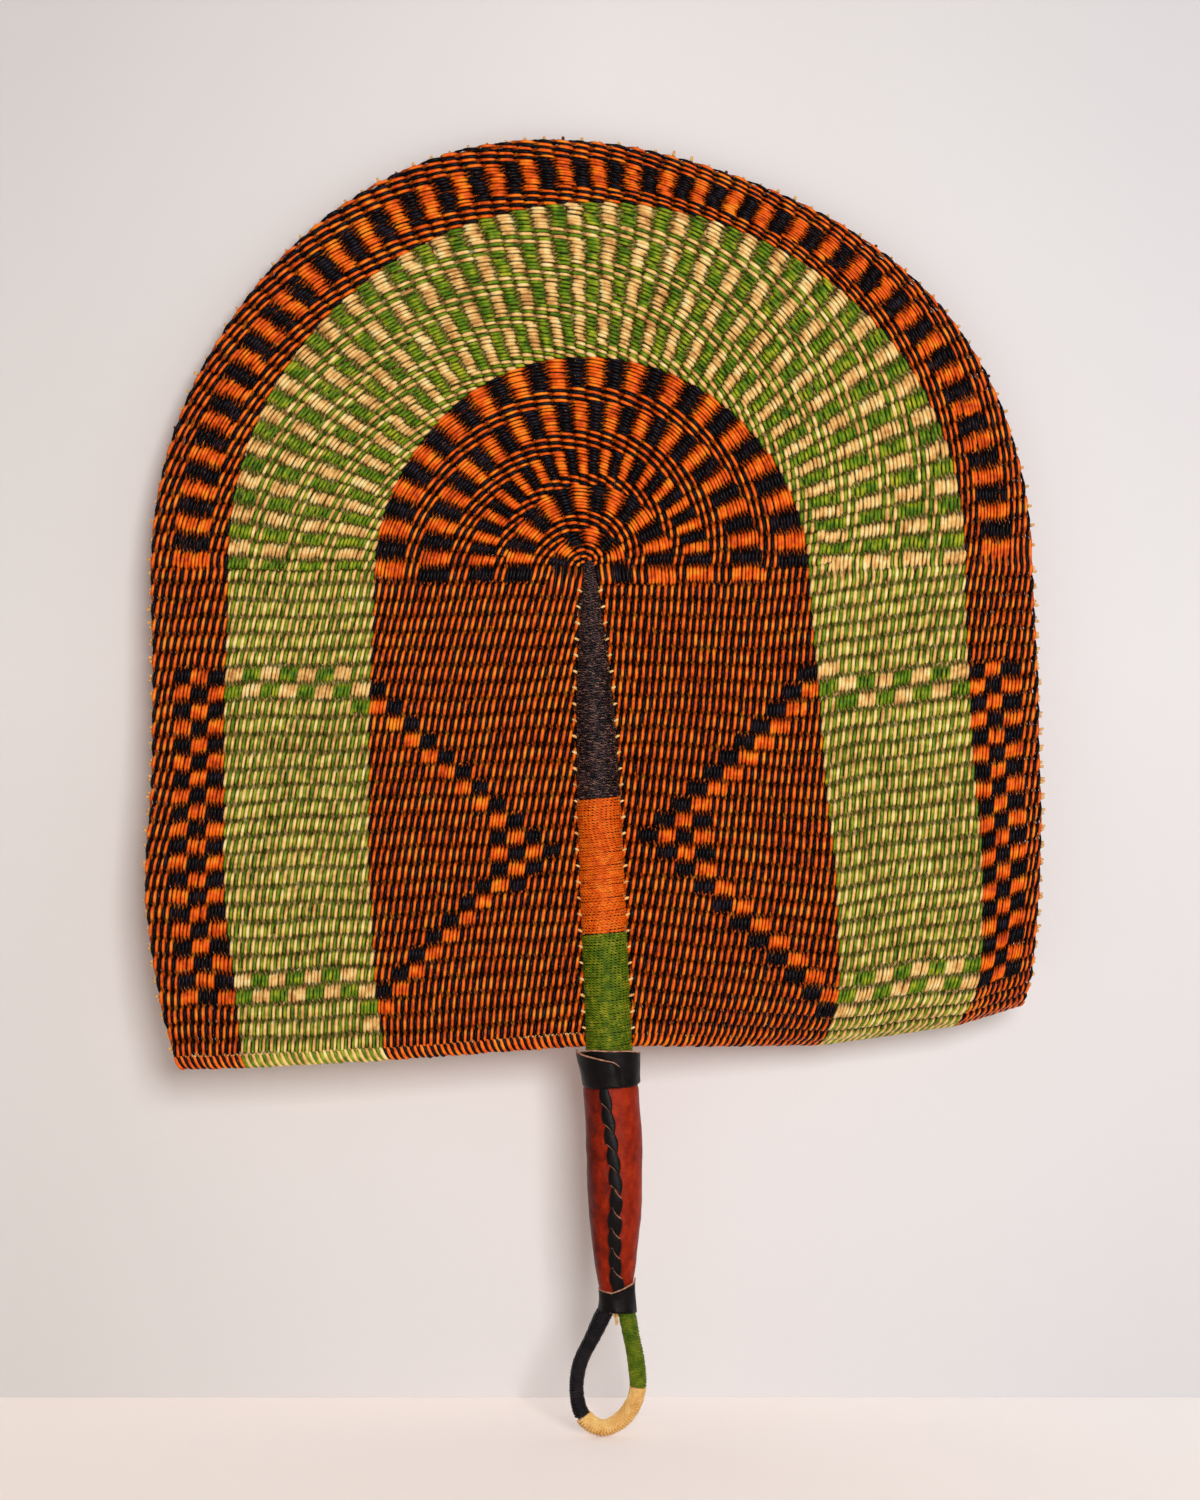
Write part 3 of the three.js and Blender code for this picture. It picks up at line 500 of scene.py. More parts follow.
# %% Lines of the blade
def line_points(s, line):
    """Places on one line at many stations, in millimetres."""
    reach = np.interp(s, TABLE_STATIONS, REACH_TABLE[line])
    crown = (s >= CROWN_START) & (s <= CROWN_END)
    left = s < CROWN_START
    angle = ((s - CROWN_START) / CROWN_ROWS - 0.5) * math.pi
    radius = HUB_REACH if line == 0 else reach
    rows = np.where(left, CROWN_START - s, s - CROWN_END)
    pitch = np.where(left, LEFT_PITCH[line], RIGHT_PITCH[line])
    bends = 0.0 if line == 0 else 1.0
    bent = np.where(left, 0.0, np.maximum(0.0, rows - (LEG_ROWS - CURL_ROWS))) * bends
    curl_radius = CURL_ROWS * pitch / CURL_ANGLE
    turn = bent * pitch / curl_radius
    z = HUB_Z - (rows - bent) * pitch - curl_radius * np.sin(turn)
    y = curl_radius * (1 - np.cos(turn))
    side = np.where(left, -1.0, 1.0)
    if line == 0:
        near_top = np.clip(rows, 0, 1)
        beside_stem = stem_half(z) + WRAP_GAP + WRAP_THICKNESS + SEAM_GAP * near_top
        x = stem_x(z) + side * beside_stem
    else:
        x = HUB_X + side * reach
    leg = np.stack([x, y, z], axis=-1)
    arc_x = HUB_X + radius * np.sin(angle)
    arc_z = HUB_Z + radius * np.cos(angle)
    arc = np.stack([arc_x, np.zeros_like(s), arc_z], axis=-1)
    return np.where(crown[:, None], arc, leg)


# %% Any place on the blade
SWAY = 0.8  # how far the sheet leaves its plane


def blade(s, v):
    """Places on the middle of the sheet, in millimetres, for stations s and lines v."""
    s, v = np.broadcast_arrays(np.asarray(s, float), np.asarray(v, float))
    lines = [line_points(s, line) for line in range(4)]
    low = np.clip(np.floor(v).astype(int), 0, 2)
    share = (v - low)[:, None]
    start = np.choose(low[:, None], lines[:3])
    end = np.choose(low[:, None], lines[1:])
    place = start + (end - start) * share
    fade = np.clip(v, 0, 1)
    place[:, 1] += SWAY * fade * np.sin(place[:, 0] / 41 + 0.6) * np.sin(place[:, 2] / 57)
    return place


def unit(vectors):
    return vectors / np.linalg.norm(vectors, axis=1, keepdims=True)


def blade_frame(s, v):
    """Place, outward way, front normal and width of one line step, at each station."""
    place = blade(s, v)
    along = blade(s + 0.2, v) - blade(s - 0.2, v)
    step = 0.02
    inner = np.clip(v - step, 0, None)
    outward = (blade(s, v + step) - blade(s, inner)) / (v + step - inner)[:, None]
    normal = unit(np.cross(along, outward))
    width = np.linalg.norm(outward, axis=1)
    return place, unit(outward), normal, width


# %% [markdown]
# ## From paths to straw
# A strand is a path with a thickness at each point. Blender's curve objects turn such paths into tubes with
# a UV map along them, which is lighter than sweeping a bmesh circle a hundred thousand times. The curve is
# made a mesh before it is kept, so that the export sees plain geometry.


# %% Strand helper
# How much painted shade the sides of a strand get where they face the next strand.
SIDE_SHADE = 0.95


def mark_painted_shade(mesh, paths):
    """Store how much painted shade each corner gets: where strands cross, and on the sides that face the
    next strand.
    """
    ends = 2 * len(paths)  # Blender lists the corners of all end caps before the tubes' own
    places, crossing_shades, normals = (np.concatenate([path[item] for path in paths]) for item in (0, 2, 3))
    ring = len(mesh.vertices) // (ends + len(places))
    corners = np.empty(3 * len(mesh.vertices), np.float32)
    mesh.vertices.foreach_get("co", corners)
    offsets = corners.reshape(-1, 3)[ends * ring :] / MM - np.repeat(places, ring, axis=0)
    offsets /= np.linalg.norm(offsets, axis=1, keepdims=True)
    facing = np.abs(np.sum(offsets * np.repeat(normals, ring, axis=0), axis=1))
    values = np.maximum(np.repeat(crossing_shades, ring), SIDE_SHADE * (1 - facing))
    attribute = mesh.attributes.new("hollow", "FLOAT", "POINT")
    attribute.data.foreach_set("value", np.concatenate([np.ones(ends * ring), values]).astype(np.float32))


# %% Tubes from paths
def strands_piece(name, paths, material, node, body="fan", sides=6):
    """One mesh from many paths: each is an array of places and one of radii, both in millimetres.

    A path may have two more arrays: how much painted shade the place gets, from 0 on top to 1 where strands
    cross, and the way out of the sheet.
    """
    curve = bpy.data.curves.new(name, "CURVE")
    curve.dimensions = "3D"
    curve.bevel_depth = 1.0
    curve.bevel_resolution = (sides - 4) // 2
    curve.use_fill_caps = True
    for places, radii, *_ in paths:
        spline = curve.splines.new("POLY")
        spline.points.add(len(places) - 1)
        flat = np.column_stack([np.asarray(places) * MM, np.ones(len(places))])
        spline.points.foreach_set("co", flat.ravel())
        thickness = np.broadcast_to(np.asarray(radii, float) * MM, (len(places),))
        spline.points.foreach_set("radius", np.ascontiguousarray(thickness))
        spline.use_smooth = True
    carrier = bpy.data.objects.new(name + "_curve", curve)
    bpy.context.scene.collection.objects.link(carrier)
    bpy.context.view_layer.update()
    tubes = carrier.evaluated_get(bpy.context.evaluated_depsgraph_get())
    mesh = bpy.data.meshes.new_from_object(tubes)
    bpy.data.objects.remove(carrier)
    bpy.data.curves.remove(curve)
    mesh.name = name
    if len(paths[0]) > 2:
        mark_painted_shade(mesh, paths)
    mesh.materials.clear()
    mesh.materials.append(material)
    mesh.shade_smooth()
    piece = bpy.data.objects.new(name, mesh)
    bpy.context.scene.collection.objects.link(piece)
    attach(piece, body, node)
    triangles = sum(len(face.vertices) - 2 for face in mesh.polygons)
    print(f"{name}: {len(paths)} strands, {triangles} triangles")
    return piece


# %% Attach a piece and hide its part
def attach(piece, body, node):
    """Put the piece on its body and hide the part that it replaces. One that bends over a joint rides on no
    single body.
    """
    if body:
        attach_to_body(piece, body)
    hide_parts(node)


def lengths_along(path):
    """How far each point of a path is from its start."""
    return np.concatenate([[0], np.cumsum(np.linalg.norm(np.diff(path, axis=0), axis=1))])


# %% [markdown]
# ## The pattern
# Two strands of different colours twine together in each column, and the one in front colours the stitch.
# After every stake they swap, so a column goes orange, black, orange. Where neighbouring columns are out of
# step the cloth shows slanting stripes, and where they are in step it shows blocks one stake wide. In the
# legs the weaver holds a colour back for a row to draw checks and a zigzag of small blocks.

# %% Columns and rings
COLUMNS = (60, 40, 21)
BLOCK = 5  # columns in one check
CROWN_RINGS = (
    (9, 4, 9, 5, 8, 3, 8, 5, 5, 4),  # columns of blocks and of stripes in turn, from the outside in
    (6, 3, 7, 3, 7, 3, 8, 3),
    (0, 6, 10, 5),
)
START_PHASE = (0, 1, 0)
HUB_COLUMNS, NEAR_HUB_COLUMNS, SEAM_COLUMNS = 9, 22, 13
# The first and the last station that a column crosses in the crown, and how many it crosses.
HUB_SPAN, NEAR_HUB_SPAN = (30.0, 62.8, 7), (28.3, 62.85, 16)
INNER_SPAN, SEAM_SPAN = (28.45, 62.45, 32), (28.85, 61.8, 32)
MIDDLE_SPAN, OUTER_SPAN = (28.98, 61.75, 64), (29.15, 61.5, 71)


def crown_phases(band):
    """For each column from the inside out: 0 or 1, the stakes on which its warm strand shows."""
    phases = []
    phase = START_PHASE[band]
    for ring, count in enumerate(CROWN_RINGS[band]):
        striped = ring % 2 == 1
        for column in range(count):
            if striped or column == 0:
                phase ^= 1
            phases.append(phase)
    return phases[::-1]


def squeezed(first, last, count):
    """Stations that lie closer together towards both ends, as the few stakes round the hub do."""
    x = np.linspace(-1, 1, count)
    return (first + last) / 2 + (last - first) / 2 * (1.13 * x - 0.13 * x**3)


def crown_stations(band, column):
    """Where a column crosses the crown's stakes, which join towards the hub and part towards the edge."""
    if band == 2:
        return np.linspace(*OUTER_SPAN)
    if band == 1:
        return np.linspace(*MIDDLE_SPAN)
    if column < HUB_COLUMNS:
        return squeezed(*HUB_SPAN)
    if column < NEAR_HUB_COLUMNS:
        return squeezed(*NEAR_HUB_SPAN)
    if column < COLUMNS[0] - SEAM_COLUMNS:
        return np.linspace(*INNER_SPAN)
    return np.linspace(*SEAM_SPAN)


print("crown phases of the outer band:", crown_phases(2))


# %% [markdown]
# ### Checks in the legs
# In the legs the pattern is a rule on rows and blocks. A block is one row high and five columns wide, and
# each band has its own rule. A list of every stitch would do too, but a rule is shorter and can be read
# against the real cloth.

# %% Checks in the legs
def inner_block(left, row, index):
    """The zigzag of the inner band: 1 for orange, 0 for black and None for stripes."""
    step = row - 7 if left else row - 6
    back = 25 - row if left else 26 - row
    middle_row = 17 if left else 16
    if row <= middle_row:
        if index == step:
            return 0
        if index == step - 1:
            return 1
    if row >= middle_row:
        lag = 1 if left else -1
        if index == back:
            return 0
        if index == back + lag:
            return 1
    if left:
        turn_blocks = {(16, 7): 0, (17, 7): 1, (17, 8): 0, (18, 9): 0, (19, 8): 0}
    else:
        turn_blocks = {(15, 7): 0, (16, 8): 0, (16, 7): 1, (17, 7): 0}
    return turn_blocks.get((row, index))


# %% Checks of the middle and outer bands
def middle_block(left, row, index):
    """The two checked rows near each end of the middle band: 1 for natural and 0 for green."""
    if left:
        full = {7: 1, 25: 1}
        short = {6: 0, 24: 0}
        single = {8: 0, 26: 0, 27: 1}
    else:
        full = {7: 0, 25: 0}
        short = {8: 1, 24: 1}
        single = {6: 1, 26: 1}
    if row in full:
        return (index + full[row] + 1) % 2
    if row in short and index < 7:
        return (index + short[row] + 1) % 2
    if row in single and index == 7:
        return single[row]
    return None


def outer_block(left, row, index):
    """Three columns of checks beside the seam of the outer band."""
    first_row = 6 if left else 7
    if index > 2 or row < first_row or row > 25:
        return None
    return (row + index + (0 if left else 1)) % 2


BLOCK_RULES = (inner_block, middle_block, outer_block)


def leg_front(band, column, left, row):
    """Which strand is in front on a leg's stake: 1 for the warm one."""
    from_seam = column if band == 2 else COLUMNS[band] - 1 - column
    warm = BLOCK_RULES[band](left, row, from_seam // BLOCK)
    if warm is not None:
        return warm
    stake = LEG_ROWS - 1 - row if left else row
    return (stake + column) % 2


# %% Stitches of a column
FAN_LINES = (0, 0.78, 1.0, 1.2, 1.5, 2.0, 3.0)
FAN_ROWS = (0, 0, 0.15, 0.47, 0.72, 1.05, 1.0)  # how many rows the right leg's row 7 stands higher there
FAN_END = 25  # the row where the rows stop fanning out
FAN_HEIGHT = 18  # rows from there up to row 7
RUN_OUT = 1.15  # the line where the right leg's first row ends


def row_station(left, row, v):
    """Station of a leg's row at line v. The right leg's upper rows fan out towards the edge."""
    if left:
        return LEG_ROWS - row - 0.5 + 0 * v
    fanned = np.interp(v, FAN_LINES, FAN_ROWS) * max(0, (FAN_END - row) / FAN_HEIGHT)
    return CROWN_END + row + 0.5 - fanned


def column_rows(band, column):
    """Stations of a column's stitches, and which strand is in front at each."""
    v = band + (column + 0.5) / COLUMNS[band]
    crown = crown_stations(band, column)
    phase = crown_phases(band)[column]
    left_rows = LEG_ROWS if band else LEG_ROWS - 1
    first_right = 0 if 1 - SEAM_COLUMNS / COLUMNS[0] <= v < RUN_OUT else 1
    stations = [stake + 0.5 for stake in range(left_rows)]
    fronts = [leg_front(band, column, True, LEG_ROWS - 1 - stake) for stake in range(left_rows)]
    stations.extend(crown)
    fronts.extend((k + phase) % 2 for k in range(len(crown)))
    stations.extend(row_station(False, row, v) for row in range(first_right, LEG_ROWS))
    fronts.extend(leg_front(band, column, False, row) for row in range(first_right, LEG_ROWS))
    return np.array(stations), fronts


# %% [markdown]
# ## Twining
# Seen from its end, a pair of strands turns half round at each stake: a strand passes in front as a
# slanting grain, dives between two stakes, and passes behind the next. Where a colour has to stay in front
# the pair either turns twice, and the other colour shows as a dot, or the front strand only dips. Each case
# is a short list of steps.

# %% Steps of a twist
# Each step has its share of the way to the next stake, then for the strand in front at the start and for
# its partner: how far it lies to the outside in column widths, how far forward, and how full it is.
HALF_TURN = (
    (0.0, (0.0, 1.0, 1.0), (0.0, -1.0, 1.12)),
    (0.25, (-0.21, 0.9, 0.95), (0.17, -0.86, 1.08)),
    (0.42, (-0.4, 0.2, 0.62), (0.36, -0.36, 0.9)),
    (0.58, (-0.36, -0.36, 0.9), (0.4, 0.2, 0.62)),
    (0.75, (-0.17, -0.86, 1.08), (0.21, 0.9, 0.95)),
)
FULL_TURN = (
    (0.0, (0.0, 1.0, 1.0), (0.0, -1.0, 1.12)),
    (0.27, (-0.17, 0.86, 0.95), (0.17, -0.86, 1.05)),
    (0.41, (-0.32, 0.15, 0.66), (0.3, -0.2, 0.85)),
    (0.5, (0.0, -0.5, 0.9), (0.0, 0.36, 0.5)),
    (0.59, (0.32, 0.15, 0.66), (-0.3, -0.2, 0.85)),
    (0.73, (0.17, 0.86, 0.95), (-0.17, -0.86, 1.05)),
)
DIP = (
    (0.0, (0.0, 1.0, 1.0), (0.0, -1.0, 1.12)),
    (0.27, (-0.17, 0.86, 0.95), (0.0, -0.9, 1.12)),
    (0.43, (-0.27, 0.12, 0.6), (0.0, -0.5, 1.12)),
    (0.57, (0.27, 0.12, 0.6), (0.0, -0.5, 1.12)),
    (0.73, (0.17, 0.86, 0.95), (0.0, -0.9, 1.12)),
)
SHALLOW = (
    (0.0, (0.0, 1.0, 1.0), (0.0, -1.0, 1.12)),
    (0.3, (-0.1, 0.86, 0.95), (0.0, -0.9, 1.12)),
    (0.5, (0.0, 0.45, 0.85), (0.0, -0.6, 1.12)),
    (0.7, (0.1, 0.86, 0.95), (0.0, -0.9, 1.12)),
)
STRAND_STARTS = (  # a shift from the first stitch, and then as above
    (-0.5, (0.45, 0.0, 0.5), (-0.45, 0.0, 0.5)),
    (-0.3, (0.3, 0.84, 0.88), (-0.3, -0.84, 0.88)),
)
STRAND_ENDS = (
    (0.0, (0.0, 1.0, 1.0), (0.0, -1.0, 1.0)),
    (0.3, (-0.3, 0.84, 0.88), (0.3, -0.84, 0.88)),
    (0.5, (-0.45, 0.0, 0.5), (0.45, 0.0, 0.5)),
)
DOT_SHARE = 0.4  # of the places where a colour stays in front and the other shows as a dot


# %% Steps along a column
def twist_steps(stations, fronts):
    """Stations of all samples, the stitch that each belongs to, and both strands' places: warm first."""
    s_list, stitches, warm, cool = [], [], [], []

    def add(s, stitch, front_place, back_place, warm_in_front):
        s_list.append(s)
        stitches.append(stitch)
        warm.append(front_place if warm_in_front else back_place)
        cool.append(back_place if warm_in_front else front_place)

    for shift, front_place, back_place in STRAND_STARTS:
        add(stations[0] + shift, 0, front_place, back_place, fronts[0])
    for i in range(len(fronts) - 1):
        steps = HALF_TURN
        if fronts[i] == fronts[i + 1]:
            steps = FULL_TURN if rng.random() < DOT_SHARE else DIP
            if any(stations[i] < joint <= stations[i + 1] for joint in (CROWN_START, CROWN_END)):
                steps = SHALLOW
        for share, front_place, back_place in steps:
            s = stations[i] + share * (stations[i + 1] - stations[i])
            add(s, i + (share >= 0.5), front_place, back_place, fronts[i])
    for shift, front_place, back_place in STRAND_ENDS:
        add(stations[-1] + shift, len(fronts) - 1, front_place, back_place, fronts[-1])
    return np.array(s_list), np.array(stitches), np.array(warm), np.array(cool)


# %% [markdown]
# ### Strands of the bands
# Each column's steps are laid on the blade. Small random shifts of place, width and depth keep the weave
# from looking machine made, and one slow wave over the sheet bends whole rows and columns. All strands of
# one colour and band would make one mesh, but the two wide bands are cut in two so that no mesh gets too
# heavy.

# %% Twine the three bands
STRAND_DEPTH = 1.42  # from the sheet's middle to a strand's middle, over a stake
STRAND_FULLNESS = 0.54  # radius over the column's width
WARM_FULLNESS = (1.0, 1.06, 1.0)
ROW_WANDER = 0.12  # rows
COLUMN_WANDER = 0.28  # columns
CALM_STATIONS = (CROWN_START - 3, CROWN_START + 1, CROWN_END - 1, CROWN_END + 3)
CALM = (1, 0.35, 0.35, 1)


def wander(s, v, seed):
    """A slow wave over the sheet, between about -1 and 1, and calmer in the crown."""
    calm = np.interp(s, CALM_STATIONS, CALM)
    along = np.sin(s * 0.43 + seed + 2.1 * np.sin(v * 2.3 + seed))
    return calm * along * np.sin(v * 5.1 + 0.21 * s + 2 * seed)


def twined_pair(band, column):
    """The warm and the cool strand of one column: places, radii, painted shade and way out of the sheet."""
    stations, fronts = column_rows(band, column)
    s, stitch, warm, cool = twist_steps(stations, fronts)
    beside_spine = max(0.0, 1 - column / 12) if band == 0 else 0.0
    v_place = band + (column + 0.5 - 0.45 * beside_spine + 0.05 * rng.normal()) / COLUMNS[band]
    v = v_place + COLUMN_WANDER / COLUMNS[band] * wander(s, v_place, 1.7) * min(1.0, 2 * v_place)
    rows = s + ROW_WANDER * wander(s, v_place, 0.4) + 0.035 * rng.normal(0, 1, stitch.max() + 2)[stitch]
    place, outward, normal, width = blade_frame(rows, v)
    column_width = np.clip(width / COLUMNS[band], 1.0, 1.6)
    pair = []
    for steps, thick in ((warm, WARM_FULLNESS[band]), (cool, 2 - WARM_FULLNESS[band])):
        uneven = rng.normal(0, 1, (stitch.max() + 2, 3))[stitch]
        full = np.clip(1 + 0.1 * uneven[:, 0], 0.84, 1.25)
        sideways = (steps[:, 0] + 0.06 * uneven[:, 1]) * column_width
        forward = STRAND_DEPTH * steps[:, 1] + 0.07 * uneven[:, 2] * np.abs(steps[:, 1])
        radius = column_width * STRAND_FULLNESS * thick * steps[:, 2] * full
        path = place + outward * sideways[:, None] + normal * forward[:, None]
        # Painted shade: 0 where the strand lies on top, up to 1 down where strands cross.
        hollow = np.clip(1 - np.abs(steps[:, 1]) / 0.86, 0, 1)
        pair.append((path, radius, hollow, normal))
    return pair


# %% Pieces of the bands
BAND_PIECES = (
    ("inner", ((0, 30), (30, 60)), ORANGE, BLACK, "inner_band", "inner_weave"),
    ("middle", ((0, 20), (20, 40)), NATURAL, GREEN, "middle_band", "middle_weave"),
    ("outer", ((0, 21),), ORANGE, BLACK, "outer_band", "outer_weave"),
)
for band, (label, groups, warm_straw, cool_straw, node, weave) in enumerate(BAND_PIECES):
    for part, (first, last) in enumerate(groups):
        pairs = [twined_pair(band, column) for column in range(first, last)]
        suffix = f"_{part + 1}" if len(groups) > 1 else ""
        for strand, (tone, dyed) in enumerate((("warm", warm_straw), ("cool", cool_straw))):
            paths = [pair[strand] for pair in pairs]
            strands_piece(f"{label}_{tone}_weft{suffix}", paths, dyed, node)

# %% [markdown]
# ## Stakes
# Each row's stake is a flat bundle of natural straws. It hides inside the twining, and its ends show: as
# pale bumps along the outer edge and beside the spine. Two straws lie side by side in each leg row. In the
# crown the two straws of a pair run together from the hub and part in the two outer bands. Only the ends
# could be modelled, but whole stakes also fill the gaps between strands, where they are painted dark as
# shade.

# %% Stakes
STAKE_RADIUS = 0.72
STAKE_SPREAD = 0.115  # in stations, from the row's middle
STAKE_ROOT = 1.6  # how far a leg's stake runs into the spine
LEG_TIPS, CROWN_TIPS, RUN_OUT_TIP = (0.8, 2.0), (0.8, 2.1), 0.1


def stake(stations, lines, tip):
    """One straw across the sheet, with a thin end past the outer edge."""
    place, outward, normal, _ = blade_frame(stations, lines)
    curl = normal[-1] * rng.uniform(-0.5, 0.5) + [0, 0, rng.uniform(-0.5, 0.5)]
    ends = [place[-1] + outward[-1] * tip * share + curl * share**2 for share in (0.5, 0.85, 1.0)]
    path = np.vstack([place, ends])
    tapered = STAKE_RADIUS * np.array([0.95, 0.85, 0.5])
    return path, np.concatenate([np.full(len(place), STAKE_RADIUS), tapered])


# %% Stakes of the legs
def spine_knots(place, outward, normal):
    """A stake's turn into the spine, seen as a pale knot beside the wrap, in front and behind."""
    down = np.array([0.0, 0.0, -1.0])
    knots = []
    for face in (normal, -normal):
        lift = rng.uniform(-0.3, 0.3)
        bend = [
            place + outward * 0.7 + face * 0.4,
            place + outward * 0.3 + face * (1.8 + lift),
            place - outward * 0.1 + face * (2.1 + lift) + down * 0.2,
            place - outward * 0.6 + face * (1.7 + lift) + down * 0.5,
            place - outward * 0.9 + face * 0.6 + down * 0.8,
        ]
        knots.append((np.array(bend), rng.uniform(0.42, 0.6)))
    return knots


def leg_stakes(left, joint_line):
    """Two straws for each row. In the row beside the crown they start where the crown's own begin."""
    paths, knots = [], []
    for row in range(LEG_ROWS):
        runs_out = row == 0 and not left
        last_line = RUN_OUT if runs_out else 3
        lines = np.linspace(joint_line if row == 0 else 0.0, last_line, 8 if runs_out else 26)
        middle = row_station(left, row, lines)
        for side in (-1, 1):
            rows = middle + side * STAKE_SPREAD + ROW_WANDER * wander(middle, lines, 0.4)
            path, radii = stake(rows, lines, RUN_OUT_TIP if runs_out else rng.uniform(*LEG_TIPS))
            inward = path[0] - path[1]
            root = path[0] + inward / np.linalg.norm(inward) * STAKE_ROOT
            paths.append((np.vstack([root, path]), np.concatenate([[STAKE_RADIUS * 0.9], radii])))
        if row > 0:
            place, outward, normal, _ = (item[0] for item in blade_frame(middle[:1], lines[:1]))
            knots.extend(spine_knots(place, outward, normal))
    return paths, knots


# %% Stakes of the crown
def nearest(stations, station):
    return stations[np.argmin(np.abs(stations - station))]


def crown_stakes():
    """Straws from the hub to the edge. Two run as one in the inner band, and more do so at the hub."""
    knots = np.array([0.02, 0.13, 0.17, 0.34, 0.4, 0.76, 0.8, 0.97, 1.06, 1.97, 2.05, 3.0])
    lines = np.concatenate([np.linspace(0.02, 1, 12), np.linspace(1.06, 3, 14)])
    middle_cells, edge_cells = crown_stations(1, 0), crown_stations(2, 0)
    near_hub, hub = crown_stations(0, 10), crown_stations(0, 0)
    paths = []
    for index, middle in enumerate(middle_cells):
        pair, seam_pair = crown_stations(0, 30)[index // 2], crown_stations(0, 50)[index // 2]
        beside = -0.13 if index % 2 == 0 else 0.13
        crossed = (
            nearest(hub, pair) + beside / 2,
            nearest(near_hub, pair) + beside / 2,
            pair + beside,
            seam_pair + beside,
            middle,
            nearest(edge_cells, middle),
        )
        stations = np.interp(lines, knots, np.repeat(crossed, 2))
        paths.append(stake(stations, lines, rng.uniform(*CROWN_TIPS)))
    used = {nearest(edge_cells, middle) for middle in middle_cells}
    short_lines = np.linspace(1.9, 3, 9)
    for edge in edge_cells:
        if edge not in used:
            stations = np.full_like(short_lines, edge)
            paths.append(stake(stations, short_lines, rng.uniform(*CROWN_TIPS)))
    return paths


# %% Tails in the stem, and all stakes
TAIL_HEIGHTS = (238, 224, 205, 186, 152, 100, 55, 14, 2, -10, -21, -33, -44)
LEFT_TAILS = (
    (-0.75, 0), (-0.62, 0.45), (-0.62, -0.45), (-0.36, 0.68), (-0.36, -0.68), (-0.4, 0.1), (-0.36, -0.3),
)
RIGHT_TAILS = tuple((-across, deep) for across, deep in LEFT_TAILS)
CROWN_TAILS = ((0, 0.76), (0, -0.76), (0, 0.38), (0, -0.38), (0, 0))
# A leg's side, whether it is the left one, the line where its top row starts, and its tails.
LEG_STAKES = (("left", True, 0.99, LEFT_TAILS), ("right", False, 0.79, RIGHT_TAILS))


def tail_bundle(offsets):
    """Tails of the stakes in the stem, from the hub to its foot. Offsets are shares of its half width."""
    heights = np.array(TAIL_HEIGHTS)
    half = stem_half(heights)
    paths = []
    for across, deep in offsets:
        places = np.column_stack([stem_x(heights) + across * half, deep * half * STEM_DEPTH, heights])
        paths.append((places, half * 0.2))
    return paths


for side, left, joint_line, tails in LEG_STAKES:
    straws, knots = leg_stakes(left, joint_line)
    straws += tail_bundle(tails)
    strands_piece(f"{side}_stakes", straws, STAKE_STRAW, f"{side}_ribs")
    strands_piece(f"{side}_spine_knots", knots, NATURAL, f"{side}_ribs")
straws = crown_stakes() + tail_bundle(CROWN_TAILS)
strands_piece("crown_stakes", straws, STAKE_STRAW, "crown_ribs")

# %% [markdown]
# ## Hems
# At the foot of each leg the strands turn over the last row and go back up behind it. Each column makes one
# short stitch there, slanted against the weave, over three straws that stiffen the edge. One torus
# stretched along the foot would be quicker, but it would lose the change of colour at each column.

# %% Hems
HEM_HEIGHT = 4.6
HEM_DEPTH = 1.25
HEM_SLANT = 1.5  # columns
HEM_STRAW_DROPS = (-0.5, 1.1, 2.9)


def hem_paths(edge_station, direction, band, parity):
    """Stitches of one colour along a foot: down the front, round the edge and up the back."""
    paths = []
    t = np.linspace(0, 1, 9)
    for column in range(COLUMNS[band]):
        if column % 2 != parity:
            continue
        v = np.full(1, band + (column + 0.5) / COLUMNS[band])
        edge = np.full(1, float(edge_station))
        place, outward, normal, width = (item[0] for item in blade_frame(edge, v))
        down = unit((blade(edge + direction * 0.2, v) - blade(edge, v)))[0]
        column_width = np.clip(width / COLUMNS[band], 1.05, 1.6)
        drop = HEM_HEIGHT * np.sin(math.pi * t) ** 0.8 + rng.uniform(-0.3, 0.3) - 0.9
        forward = HEM_DEPTH * np.cos(math.pi * t)
        slant = -HEM_SLANT * column_width * (t * 2 - 0.4)
        path = place + np.outer(drop, down) + np.outer(forward, normal) + np.outer(slant, outward)
        radius = column_width * (0.62 + 0.04 * rng.normal()) * np.where((t == 0) | (t == 1), 0.6, 1)
        paths.append((path, radius))
    return paths


def hem_straws(edge_station, direction):
    """The straws inside the edge, each from the spine to the outer edge."""
    paths = []
    lines = np.linspace(0.02, 3, 30)
    for drop in HEM_STRAW_DROPS:
        station = edge_station + direction * drop / LEFT_PITCH[1]
        paths.append((blade(station, lines), 0.75))
    return paths


# %% Hem pieces
for label, edge, direction in (("left", 0, -1), ("right", ARCH_END, 1)):
    hem_ends = (
        ("orange", ORANGE, hem_paths(edge, direction, 0, 0) + hem_paths(edge, direction, 2, 0)),
        ("black", BLACK, hem_paths(edge, direction, 0, 1) + hem_paths(edge, direction, 2, 1)),
        ("natural", NATURAL, hem_paths(edge, direction, 1, 0) + hem_straws(edge, direction)),
        ("green", GREEN, hem_paths(edge, direction, 1, 1)),
    )
    for colour, dyed, ends in hem_ends:
        strands_piece(f"{label}_hem_{colour}", ends, dyed, f"{label}_hem")

# %% [markdown]
# ## Two-ply winding
# The spine is wound with straw that is first twisted from two plies. Both plies are helices round one
# winding, which is itself a helix round the stem, and this gives the fine herringbone of the real wrap. A
# bump map could draw the herringbone, but real plies also make the wrap's outline uneven and catch the
# light by themselves.


